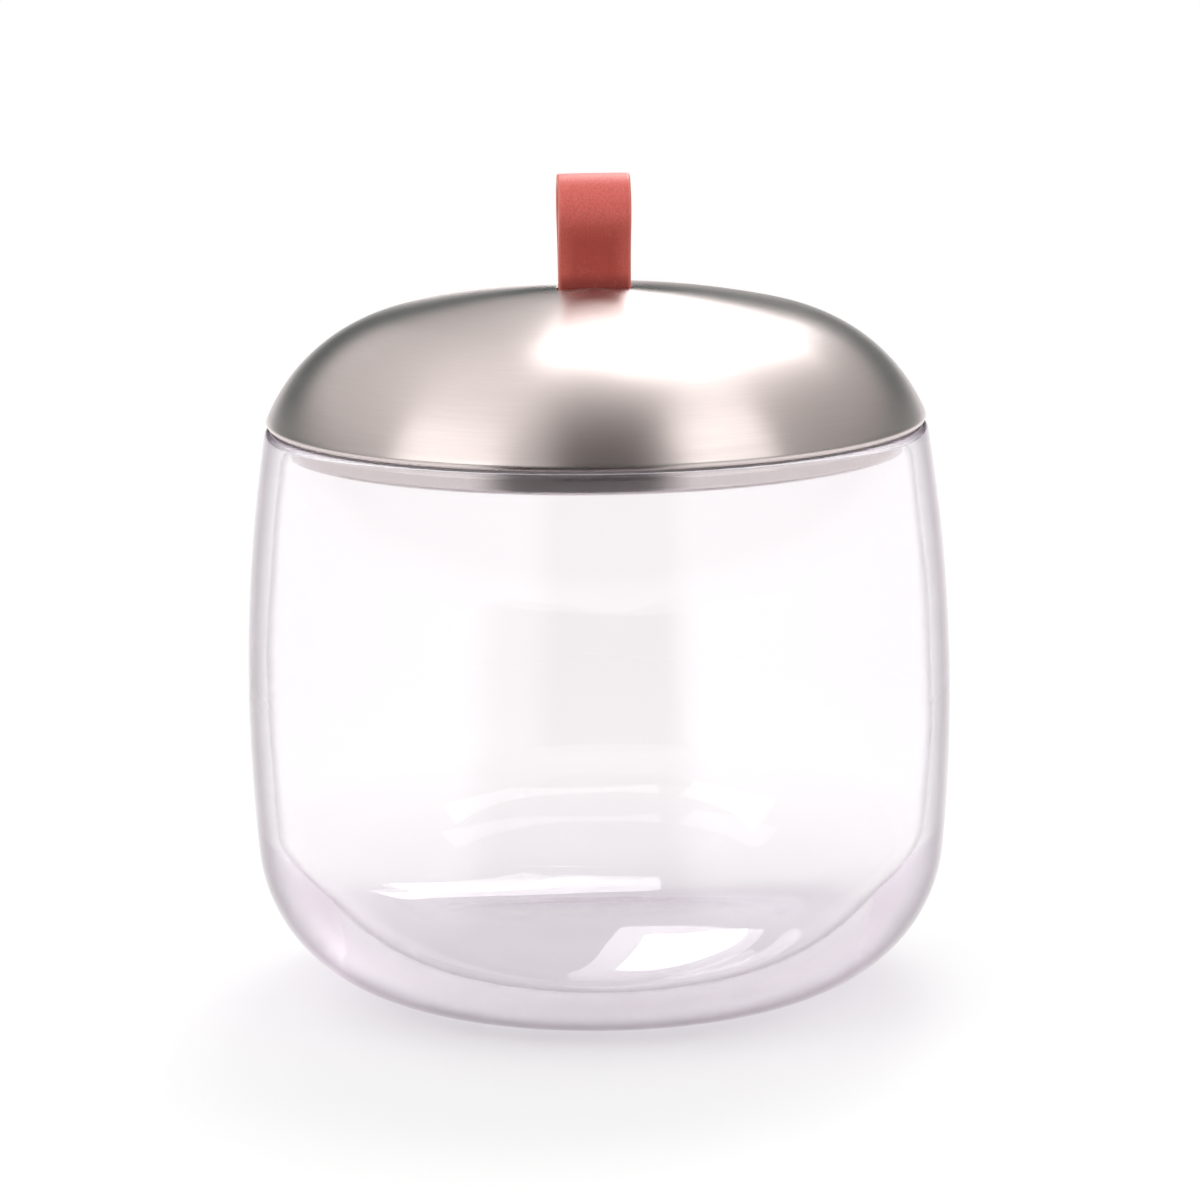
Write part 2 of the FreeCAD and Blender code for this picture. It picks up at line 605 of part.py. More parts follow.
def make_rivets():
    """Two rivets through both brackets and both tails, with low domed heads."""
    rivets = []
    for side, sign in (("left", "-"), ("right", "")):
        body = new_body(f"{side}_rivet")
        sketch = new_sketch(body, f"{side}_rivet_section", "XY_Plane")
        draw_outline(
            sketch,
            (None, None),
            ("rivet_head_radius", "rivet_head_height", "rivet_head_bow", LEFT),
            ("rivet_radius", "rivet_head_height"),
            ("rivet_radius", "rivet_far_head"),
            ("rivet_head_radius", "rivet_far_head"),
            (None, "rivet_length", "rivet_head_bow", LEFT),
            (None, None),
        )
        turned = body.newObject("PartDesign::Revolution", f"{side}_rivet_turned")
        turned.Profile = sketch
        turned.ReferenceAxis = (sketch, ["V_Axis"])
        turned.Angle = 360
        put(body, f"{sign}sizes.rivet_side", "-sizes.rivet_length / 2", "sizes.rivet_up")
        rivets.append(body)
    return group("strap_rivets", rivets)


def upright_rod(name, radius, height, along, up):
    """A cylinder along Z on the row's YZ plane."""
    rod = doc.addObject("Part::Cylinder", name)
    bind(rod, Radius=f"sizes.{radius}", Height=height)
    put(rod, None, along, f"sizes.{up}")
    return rod


def make_fixings():
    """A weld stud, a washer and a nut at each bracket: three nodes of two solids."""
    studs, washers, nuts = [], [], []
    for side, along in (("front", "-sizes.stud_out"), ("rear", "sizes.stud_out")):
        flange = upright_rod(f"{side}_stud_flange", "stud_flange_radius",
                             "sizes.stud_flange_height", along, "clamp_up")
        shank = upright_rod(f"{side}_stud_shank", "stud_radius",
                            "sizes.stud_length", along, "stud_low")
        stud = doc.addObject("Part::Fuse", f"{side}_stud")
        stud.Base = flange
        stud.Tool = shank
        studs.append(stud)

        disc = upright_rod(f"{side}_washer_disc", "washer_radius",
                           "sizes.washer_thickness", along, "washer_up")
        bore = upright_rod(f"{side}_washer_bore", "stud_hole",
                           "sizes.washer_thickness", along, "washer_up")
        washer = doc.addObject("Part::Cut", f"{side}_washer")
        washer.Base = disc
        washer.Tool = bore
        washers.append(washer)

        block = doc.addObject("Part::Prism", f"{side}_nut_block")
        block.Polygon = 6
        bind(block, Circumradius="sizes.nut_corner", Height="sizes.nut_height")
        put(block, None, along, "sizes.nut_up")
        thread = upright_rod(f"{side}_nut_thread", "nut_hole",
                             "sizes.nut_height", along, "nut_up")
        nut = doc.addObject("Part::Cut", f"{side}_nut")
        nut.Base = block
        nut.Tool = thread
        nuts.append(nut)
    return [
        group("weld_studs", studs),
        group("stud_washers", washers),
        group("stud_nuts", nuts),
    ]


def check_document():
    """Stop if any object failed, or any sketch is not held by its sizes."""
    for item in doc.Objects:
        bad = [state for state in item.State if state in ("Invalid", "Error")]
        if bad:
            raise ValueError(f"{item.Name} is {bad}")
        if item.TypeId == "Sketcher::SketchObject" and not item.FullyConstrained:
            raise ValueError(f"{item.Name} is not fully held")


def write_nodes(nodes):
    """Write each sub-part to its own file, once all of them are sound."""
    for node in nodes:
        if node.Shape.isNull() or not node.Shape.isValid() or not node.Shape.Solids:
            raise ValueError(f"{node.Label} has no sound shape")
    os.makedirs("parts", exist_ok=True)
    for node in nodes:
        node.Shape.exportStep(f"parts/{node.Label}.step")
        box = node.Shape.BoundBox
        print(f"{node.Label}: {len(node.Shape.Solids)} solid(s), {node.Shape.Volume:.1f} mm3, "
              f"z {box.ZMin:.2f} to {box.ZMax:.2f}")


fill_sheet()
NODES = [
    make_glass_jar(),
    make_seal_ring(),
    make_dome_shell(),
    make_liner_pan(),
    make_strap_loop(),
    make_strap_tails(),
    make_clamp("front_clamp", 180),
    make_clamp("rear_clamp", 0),
    make_rivets(),
    *make_fixings(),
]
doc.recompute()
check_document()
write_nodes(NODES)
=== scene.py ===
"""Looks of a round glass jar with a domed steel lid and a leather strap handle.

Row frame in metres: +Z up, the origin under the middle of the jar at the level that
it stands on, and the front of the object towards -Y.
"""
from math import atan2, cos, degrees, pi, radians, sin, sqrt

import bpy
import numpy as np
from mathutils import Matrix, Vector


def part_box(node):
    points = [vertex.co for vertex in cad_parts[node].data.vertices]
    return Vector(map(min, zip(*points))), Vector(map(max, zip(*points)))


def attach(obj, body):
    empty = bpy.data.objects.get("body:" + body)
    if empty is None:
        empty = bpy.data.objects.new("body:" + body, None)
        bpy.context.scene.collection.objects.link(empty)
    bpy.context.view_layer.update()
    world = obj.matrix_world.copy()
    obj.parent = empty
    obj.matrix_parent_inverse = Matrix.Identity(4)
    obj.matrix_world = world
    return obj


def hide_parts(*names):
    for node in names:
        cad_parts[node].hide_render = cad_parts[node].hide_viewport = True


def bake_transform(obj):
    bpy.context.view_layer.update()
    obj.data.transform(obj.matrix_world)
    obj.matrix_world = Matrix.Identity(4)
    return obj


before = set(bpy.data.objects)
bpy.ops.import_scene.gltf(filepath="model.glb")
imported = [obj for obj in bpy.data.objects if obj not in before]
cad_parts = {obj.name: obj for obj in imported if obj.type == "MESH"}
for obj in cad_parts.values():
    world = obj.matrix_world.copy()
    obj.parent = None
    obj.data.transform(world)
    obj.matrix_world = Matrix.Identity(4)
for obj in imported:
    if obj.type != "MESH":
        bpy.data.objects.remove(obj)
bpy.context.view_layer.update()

MM = 0.001

# Sizes that the frame's boxes don't tell, in metres.
WIDEST_HEIGHT = 64.5 * MM
SIDE_BOW = 367.0 * MM
CORNER_RADIUS = 34.0 * MM
WALL = 4.2 * MM
BASE_THICKNESS = 5.0 * MM
INNER_CORNER = 36.0 * MM
FOOT_RING = 4.1 * MM
PUNT_DEPTH = 0.8 * MM
RIM_ROUND = 1.6 * MM
INNER_WAVE = 0.09 * MM

SEAL_PLAY = 0.3 * MM
SEAL_ROUND = 0.2 * MM
SKIRT_GAP = 0.9 * MM

EDGE_ROUND = 1.0 * MM
EDGE_LEAN = 23.0
DOME_RISE = 29.4 * MM
CROWN_BOW = 201.0 * MM
DOME_SHEET = 0.8 * MM
HEM_PLAY = 0.1 * MM
SHEET_ROUND = 0.18 * MM

PAN_SHEET = 0.6 * MM
PAN_BEND = 0.5 * MM
PAN_CORNER = 1.4 * MM
PAN_BORDER = 9.0 * MM
PAN_STEP = 1.5 * MM
PAN_PRESS = 1.2 * MM

STRAP_THICKNESS = 2.0 * MM
STRAP_PARTING = 0.2 * MM
STRAP_EDGE_ROUND = 0.5 * MM
SLOT_PLAY = 0.4 * MM
SLOT_CORNER = 1.0 * MM
SLOT_ROUND = 0.25 * MM
SLOT_BLEND = 14.0 * MM

# Sizes read from the frame.
jar_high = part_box("glass_jar")[1]
seal_low, seal_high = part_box("seal_ring")
dome_low, dome_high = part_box("dome_shell")
pan_low, pan_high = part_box("liner_pan")
loop_low, loop_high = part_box("strap_loop")
tail_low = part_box("strap_tails")[0]

# Inner radius of the glass at the height of the rim's rounding.
neck_out = jar_high.x - SIDE_BOW + sqrt(
    (SIDE_BOW - WALL) ** 2 - (jar_high.z - RIM_ROUND - WIDEST_HEIGHT) ** 2)

# Points round a turned piece, and the stage's distances and angles.
AROUND = 224
LAMP_DISTANCE = 1.6
LAMP_AIM_HEIGHT = 130.0 * MM
FLOOR_DROP = 0.05 * MM
FLOOR_REACH = 6.0
DARK_SECTOR_AZIMUTH = 188.0
CAMERA_AZIMUTH = 182.75
CAMERA_ELEVATION = 10.64
CAMERA_DISTANCE = 1.100
CAMERA_ROLL = -0.70
CAMERA_TARGET = (0.37 * MM, 0.0, 85.35 * MM)
LENS = 149.52


# Sections and surfaces


def arc(centre, radius, first, last, steps):
    """Circle arc in a section: the centre plus the radius times the cosine and sine of
    angles that go evenly from first to last, in degrees."""
    turn = np.radians(np.linspace(first, last, steps + 1))
    return np.column_stack([centre[0] + radius * np.cos(turn), centre[1] + radius * np.sin(turn)])


def line(start, end, steps, margin=0.0):
    """Straight run: even steps from start to end. A margin adds one more point that far
    from each end, which keeps the shading of a bend next to it out of the flat."""
    start, end = np.array(start, float), np.array(end, float)
    share = np.linspace(0, 1, steps + 1)
    if margin:
        near = margin / np.linalg.norm(end - start)
        share = np.unique(np.concatenate([share, [near, 1 - near]]))
    return start + share[:, None] * (end - start)


def joined(*runs):
    """Runs of points in one row, without the points that repeat the one before."""
    points = np.vstack(runs)
    moved = np.linalg.norm(np.diff(points, axis=0), axis=1) > 1e-8
    return points[np.concatenate([[True], moved])]


def rounded(corners, radii, steps=6, closed=False):
    """Outline with rounded corners. At each corner the arc starts the radius times the
    tangent of half the turn before the corner, and turns by the angle between the two
    sides. One more point stands a fifth of the radius outside each end of the arc."""
    corners, radii = np.array(corners, float), np.array(radii, float)
    into = corners - np.roll(corners, 1, axis=0)
    into /= np.linalg.norm(into, axis=1)[:, None]
    away = np.roll(into, -1, axis=0)
    turn = np.arctan2(into[:, 0] * away[:, 1] - into[:, 1] * away[:, 0], (into * away).sum(axis=1))
    reach = radii * np.tan(np.abs(turn) / 2)
    start = corners - into * reach[:, None]
    sideways = np.column_stack([-into[:, 1], into[:, 0]]) * np.sign(turn)[:, None]
    centre = start + sideways * radii[:, None]
    angle = turn[:, None] * np.linspace(0, 1, steps + 1)
    spoke = -sideways * radii[:, None]
    bend = centre[:, None] + np.stack([
        spoke[:, :1] * np.cos(angle) - spoke[:, 1:] * np.sin(angle),
        spoke[:, :1] * np.sin(angle) + spoke[:, 1:] * np.cos(angle),
    ], axis=-1)
    guard = 0.2 * radii[:, None]
    bend = np.concatenate([
        (start - into * guard)[:, None], bend, (bend[:, -1] + away * guard)[:, None]
    ], axis=1)
    if not closed:
        bend[0], bend[-1] = corners[0], corners[-1]
    return joined(bend.reshape(-1, 2))


def turned(section, around=AROUND):
    """Surface turned round the axis: each point of the section, its distance from the
    axis and its height, goes once round at even angles."""
    turn = np.linspace(0, 2 * pi, around, endpoint=False)
    out, up = section[:, :1], section[:, 1:]
    return np.stack([out * np.cos(turn), out * np.sin(turn), up + 0 * turn], axis=-1)


def new_piece(name, grid, finish, joins=False, **marks):
    """Closed mesh over a grid whose rows are rings. With joins the last row meets the
    first; otherwise the end rows are single points, each closed by a fan of triangles.
    The faces are turned outwards by the sign of the volume that they enclose: the sum
    of the triple products of their corners. A mark is a vector for each grid point."""
    rows, around = grid.shape[:2]
    number = np.arange(rows * around).reshape(rows, around)
    pole = np.ptp(grid, axis=1).max(axis=1) < 1e-9
    number[pole] = number[pole, :1]
    this = number if joins else number[:-1]
    following = np.roll(number, -1, axis=0) if joins else number[1:]
    corners = [this, np.roll(this, -1, axis=1), np.roll(following, -1, axis=1), following]
    used, faces = np.unique(np.stack(corners, axis=-1), return_inverse=True)
    faces = faces.reshape(-1, 4)
    points = grid.reshape(-1, 3)[used]
    opens, closes = faces[:, 0] == faces[:, 1], faces[:, 2] == faces[:, 3]
    quads = faces[~(opens | closes)]
    fans = np.vstack([faces[opens][:, 1:], faces[closes][:, :3]])
    halves = np.vstack([quads[:, [0, 1, 2]], quads[:, [0, 2, 3]], fans])
    first, second, third = points[halves].swapaxes(0, 1)
    if (np.cross(first, second) * third).sum() < 0:
        quads, fans = quads[:, ::-1], fans[:, ::-1]
    mesh = bpy.data.meshes.new(name)
    mesh.from_pydata(points.tolist(), [], quads.tolist() + fans.tolist())
    mesh.shade_smooth()
    mesh.materials.append(finish)
    for mark, values in marks.items():
        kept = values.reshape(-1, 3)[used].astype(np.float32)
        mesh.attributes.new(mark, "FLOAT_VECTOR", "POINT").data.foreach_set("vector", kept.ravel())
    piece = bpy.data.objects.new(name, mesh)
    bpy.context.scene.collection.objects.link(piece)
    return piece


# Node helpers


def add(tree, kind, into=None, **settings):
    """Place a node. The settings are its own, and into gives numbers or sockets for its
    inputs by name or number."""
    node = tree.nodes.new("ShaderNode" + kind)
    for name, value in settings.items():
        setattr(node, name, value)
    for key, value in (into or {}).items():
        if isinstance(value, bpy.types.NodeSocket):
            tree.links.new(value, node.inputs[key])
        else:
            node.inputs[key].default_value = value
    return node


def value_of(tree, operation, first, second=0.0, third=0.0):
    """Result of one sum on numbers or sockets."""
    return add(tree, "Math", {0: first, 1: second, 2: third}, operation=operation).outputs[0]


def ramp(tree, value, low, high, start=0.0, end=1.0):
    """Smooth step of a value from low to high, which gives start to end."""
    into = {"Value": value, "From Min": low, "From Max": high, "To Min": start, "To Max": end}
    return add(tree, "MapRange", into, interpolation_type="SMOOTHSTEP").outputs["Result"]


def colour_between(tree, share, first, second):
    """First colour where the share is 0, second where it is 1."""
    return add(tree, "Mix", {0: share, 6: first, 7: second}, data_type="RGBA").outputs[2]


def noise(tree, place, scale, detail=2.0, roughness=0.5, distortion=0.0):
    """Smooth noise of about 0 to 1 at a place."""
    into = {"Vector": place, "Scale": scale, "Detail": detail, "Roughness": roughness,
            "Distortion": distortion}
    return add(tree, "TexNoise", into).outputs["Fac"]


def object_place(tree):
    """Place in the row frame."""
    return add(tree, "TexCoord").outputs["Object"]


def rgb(red, green, blue):
    return (red, green, blue, 1.0)


def new_group(name, inputs, outputs):
    """Empty effect with named number inputs, given with their values, and outputs."""
    group = bpy.data.node_groups.new(name, "ShaderNodeTree")
    for title, value in inputs.items():
        socket = group.interface.new_socket(title, in_out="INPUT", socket_type="NodeSocketFloat")
        socket.default_value = value
    for title in outputs:
        group.interface.new_socket(title, in_out="OUTPUT", socket_type="NodeSocketFloat")
    given = group.nodes.new("NodeGroupInput").outputs
    result = group.nodes.new("NodeGroupOutput").inputs
    return group, given, result


def effect(tree, group, title, **values):
    """Output of an effect placed in a material with its own values."""
    node = tree.nodes.new("ShaderNodeGroup")
    node.node_tree = group
    for name, value in values.items():
        node.inputs[name].default_value = value
    return node.outputs[title]


def new_material(name):
    """Material with an empty node tree, and its output."""
    material = bpy.data.materials.new(name)
    material.use_nodes = True
    material.node_tree.nodes.clear()
    return material, material.node_tree, add(material.node_tree, "OutputMaterial")


# Effects that several finishes use


def make_round_lines():
    """Fine lines round the axis or along it: noise over the direction from the axis,
    times Turns, and the distance out less the height, times Steps."""
    group, given, result = new_group("round lines", {"Turns": 6.0, "Steps": 4000.0}, ["Lines"])
    place = add(group, "SeparateXYZ", {0: object_place(group)}).outputs
    level = add(group, "CombineXYZ", {0: place[0], 1: place[1]}).outputs[0]
    way = add(group, "VectorMath", {0: level}, operation="NORMALIZE").outputs[0]
    turns = add(group, "VectorMath", {0: way, 3: given["Turns"]}, operation="SCALE").outputs[0]
    out = add(group, "VectorMath", {0: level}, operation="LENGTH").outputs["Value"]
    course = value_of(group, "SUBTRACT", out, place[2])
    steps = add(group, "CombineXYZ", {2: value_of(group, "MULTIPLY", course, given["Steps"])})
    spot = add(group, "VectorMath", {0: turns, 1: steps.outputs[0]}, operation="ADD").outputs[0]
    group.links.new(noise(group, spot, 1.0, 3.0, 0.6), result["Lines"])
    return group


def make_handling_marks():
    """Broad faint marks of handling: noise above its middle, of a given size."""
    group, given, result = new_group("handling marks", {"Size": 0.03, "Cover": 0.5}, ["Marks"])
    scale = value_of(group, "DIVIDE", 1.0, given["Size"])
    patches = noise(group, object_place(group), scale, 4.0, 0.55, 0.6)
    low = value_of(group, "SUBTRACT", 0.8, value_of(group, "MULTIPLY", given["Cover"], 0.4))
    high = value_of(group, "ADD", low, 0.22)
    group.links.new(ramp(group, patches, low, high), result["Marks"])
    return group


def make_hairlines():
    """Sparse hairline scratches: where a stretched noise crosses its middle, kept only
    inside the patches of a second noise."""
    group, given, result = new_group("hairlines", {"Density": 1.0, "Width": 0.012}, ["Scratch"])
    found = None
    for lean, stretch in ((25.0, (260.0, 14.0, 30.0)), (-50.0, (16.0, 220.0, 26.0))):
        into = {"Vector": object_place(group), "Rotation": (0.0, 0.2, radians(lean)),
                "Scale": stretch}
        place = add(group, "Mapping", into).outputs[0]
        threads = noise(group, place, given["Density"])
        crossing = value_of(group, "ABSOLUTE", value_of(group, "SUBTRACT", threads, 0.5))
        close = value_of(group, "DIVIDE", crossing, given["Width"])
        thread = ramp(group, close, 0.0, 1.0, 1.0, 0.0)
        patch = ramp(group, noise(group, object_place(group), 70.0 + lean), 0.55, 0.68)
        thread = value_of(group, "MULTIPLY", thread, patch)
        found = thread if found is None else value_of(group, "MAXIMUM", found, thread)
    group.links.new(found, result["Scratch"])
    return group


def make_dust():
    """Small specks: the middles of scattered cells, fewer where Cover is low."""
    group, given, result = new_group("dust", {"Grain": 0.0006, "Cover": 0.3}, ["Specks"])
    scale = value_of(group, "DIVIDE", 1.0, given["Grain"])
    cells = add(group, "TexVoronoi", {"Vector": object_place(group), "Scale": scale})
    speck = ramp(group, cells.outputs["Distance"], 0.10, 0.30, 1.0, 0.0)
    chance = add(group, "SeparateColor", {0: cells.outputs["Color"]}).outputs[0]
    kept = value_of(group, "LESS_THAN", chance, given["Cover"])
    group.links.new(value_of(group, "MULTIPLY", speck, kept), result["Specks"])
    return group


ROUND_LINES = make_round_lines()
HANDLING_MARKS = make_handling_marks()
HAIRLINES = make_hairlines()
DUST = make_dust()


# Finishes


def make_clear_glass():
    """Blown soda-lime glass: clear, faintly lilac grey where it is thick, with slow waves
    in its polish and a trace of dull handling marks. Faces seen edge-on get painted
    shade, a deeper grey in the glass colour that stands in for the dark surroundings
    refracted at the outline; those that look away from the axis, up or down get it
    sooner than those that look towards the axis. Lamps shine through it. Light caught
    inside for more than one mirroring leaves at a dull face, as it does where blown
    glass is uneven."""
    material, tree, output = new_material("clear_glass")
    place = object_place(tree)
    marks = effect(tree, HANDLING_MARKS, "Marks", Size=0.035, Cover=0.35)
    ray = add(tree, "LightPath").outputs
    trapped = ramp(tree, ray["Glossy Depth"], 1.4, 1.6)
    roughness = value_of(tree, "MAXIMUM", value_of(tree, "MULTIPLY", marks, 0.012), trapped)
    waves = noise(tree, place, 38.0, 1.0)
    bump = add(tree, "Bump", {"Height": waves, "Strength": 0.22, "Distance": 0.0004})
    faces = add(tree, "NewGeometry").outputs["Normal"]
    level = add(tree, "VectorMath", {0: place, 1: (1.0, 1.0, 0.0)}, operation="MULTIPLY")
    way = add(tree, "VectorMath", {0: level.outputs[0]}, operation="NORMALIZE").outputs[0]
    outwards = add(tree, "VectorMath", {0: faces, 1: way}, operation="DOT_PRODUCT")
    outside = ramp(tree, outwards.outputs["Value"], -0.35, -0.05)
    # Painted shade: where a face is seen edge-on the glass colour goes towards dark grey, in place
    # of the dark surroundings that thick glass refracts at its outline.
    aslant = add(tree, "LayerWeight", {"Blend": 0.5}).outputs["Facing"]
    edge = value_of(tree, "MULTIPLY", ramp(tree, aslant, 0.58, 0.82), outside)
    inner_edge_shade = value_of(tree, "MULTIPLY", ramp(tree, aslant, 0.76, 0.90), 0.8)
    edge = value_of(tree, "MAXIMUM", edge, inner_edge_shade)
    # The glass colour with the painted edge shade mixed in.
    clear = colour_between(tree, edge, rgb(1.0, 1.0, 1.0), rgb(0.11, 0.08, 0.105))
    glass = add(tree, "BsdfPrincipled", {
        "Base Color": clear, "Roughness": roughness, "IOR": 1.52,
        "Transmission Weight": 1.0, "Normal": bump.outputs[0],
    })
    lamps_through = add(tree, "BsdfTransparent", {"Color": rgb(0.93, 0.92, 0.94)})
    surface = add(tree, "MixShader", {
        0: ray["Is Shadow Ray"], 1: glass.outputs[0], 2: lamps_through.outputs[0],
    })
    depth = add(tree, "VolumeAbsorption", {"Color": rgb(0.75, 0.70, 0.75), "Density": 48.0})
    tree.links.new(surface.outputs[0], output.inputs["Surface"])
    tree.links.new(depth.outputs[0], output.inputs["Volume"])
    return material


def make_satin_steel():
    """Spun steel, satin turned: fine lines run round the dome, highlights stretch across
    them, the rolled edge is worn a little smoother and is lighter in colour, partly from
    wear and partly as a painted highlight along its rounding, fingers have polished the
    top beside the strap a little, and there are a few hairlines."""
    material, tree, output = new_material("satin_steel")
    place = object_place(tree)
    height = add(tree, "SeparateXYZ", {0: place}).outputs[2]
    from_top = add(tree, "VectorMath", {0: place, 1: (0.0, 0.0, dome_high.z)}, operation="DISTANCE")
    by_strap = ramp(tree, from_top.outputs["Value"], 0.010, 0.024, 1.0, 0.0)
    lines = effect(tree, ROUND_LINES, "Lines", Turns=5.0, Steps=3600.0)
    broad = effect(tree, ROUND_LINES, "Lines", Turns=2.0, Steps=420.0)
    marks = effect(tree, HANDLING_MARKS, "Marks", Size=0.028, Cover=0.5)
    scratch = effect(tree, HAIRLINES, "Scratch", Density=1.0, Width=0.010)
    # Along the rolled edge: less rough from wear, and lighter in colour, which is partly wear and
    # partly a painted highlight of the rounding.
    worn_edge_and_highlight = ramp(tree, height, seal_high.z + EDGE_ROUND, seal_high.z + 3 * EDGE_ROUND, 1.0, 0.0)
    colour = colour_between(tree, lines, rgb(0.68, 0.60, 0.58), rgb(0.58, 0.51, 0.495))
    colour = colour_between(tree, value_of(tree, "MULTIPLY", marks, 0.35), colour,
                            rgb(0.55, 0.485, 0.47))
    colour = colour_between(tree, value_of(tree, "MULTIPLY", worn_edge_and_highlight, 0.5), colour,
                            rgb(0.74, 0.665, 0.65))
    roughness = value_of(tree, "MULTIPLY_ADD", lines, 0.10, 0.255)
    roughness = value_of(tree, "MULTIPLY_ADD", broad, 0.05, roughness)
    roughness = value_of(tree, "MULTIPLY_ADD", marks, 0.06, roughness)
    roughness = value_of(tree, "MULTIPLY_ADD", by_strap, -0.05, roughness)
    roughness = value_of(tree, "MULTIPLY_ADD", worn_edge_and_highlight, -0.05, roughness)
    relief = value_of(tree, "MULTIPLY_ADD", broad, 0.6, lines)
    relief = value_of(tree, "MULTIPLY_ADD", scratch, -0.8, relief)
    bump = add(tree, "Bump", {"Height": relief, "Strength": 0.22, "Distance": 0.00003})
    tangent = add(tree, "Tangent", direction_type="RADIAL", axis="Z")
    steel = add(tree, "BsdfPrincipled", {
        "Base Color": colour, "Metallic": 1.0, "Roughness": roughness, "Anisotropic": 0.85,
        "Anisotropic Rotation": 0.25, "Tangent": tangent.outputs[0], "Normal": bump.outputs[0],
    })
    tree.links.new(steel.outputs[0], output.inputs["Surface"])
    return material


def make_liner_steel():
    """Drawn steel sheet: bright, with fine streaks along the draw and faint marks."""
    material, tree, output = new_material("liner_steel")
    streaks = effect(tree, ROUND_LINES, "Lines", Turns=420.0, Steps=60.0)
    marks = effect(tree, HANDLING_MARKS, "Marks", Size=0.02, Cover=0.45)
    scratch = effect(tree, HAIRLINES, "Scratch", Density=1.4, Width=0.012)
    colour = colour_between(tree, streaks, rgb(0.74, 0.685, 0.68), rgb(0.62, 0.57, 0.565))
    colour = colour_between(tree, value_of(tree, "MULTIPLY", marks, 0.3), colour,
                            rgb(0.56, 0.515, 0.51))
    roughness = value_of(tree, "MULTIPLY_ADD", streaks, 0.12, 0.13)
    roughness = value_of(tree, "MULTIPLY_ADD", marks, 0.08, roughness)
    relief = value_of(tree, "MULTIPLY_ADD", scratch, -0.7, streaks)
    bump = add(tree, "Bump", {"Height": relief, "Strength": 0.1, "Distance": 0.00003})
    steel = add(tree, "BsdfPrincipled", {
        "Base Color": colour, "Metallic": 1.0, "Roughness": roughness,
        "Normal": bump.outputs[0],
    })
    tree.links.new(steel.outputs[0], output.inputs["Surface"])
    return material


def make_seal_silicone():
    """Matt grey silicone: cloudy, finely pitted, with a little pale dust."""
    material, tree, output = new_material("seal_silicone")
    place = object_place(tree)
    clouds = noise(tree, place, 120.0, 3.0)
    pits = noise(tree, place, 5200.0, 2.0)
    specks = effect(tree, DUST, "Specks", Grain=0.0007, Cover=0.22)
    colour = colour_between(tree, clouds, rgb(0.29, 0.27, 0.26), rgb(0.35, 0.33, 0.315))
    colour = colour_between(tree, value_of(tree, "MULTIPLY", specks, 0.35), colour,
                            rgb(0.45, 0.43, 0.41))
    roughness = value_of(tree, "MULTIPLY_ADD", clouds, 0.18, 0.5)
    bump = add(tree, "Bump", {"Height": pits, "Strength": 0.3, "Distance": 0.00004})
    rubber = add(tree, "BsdfPrincipled", {
        "Base Color": colour, "Roughness": roughness, "Normal": bump.outputs[0],
    })
    tree.links.new(rubber.outputs[0], output.inputs["Surface"])
    return material


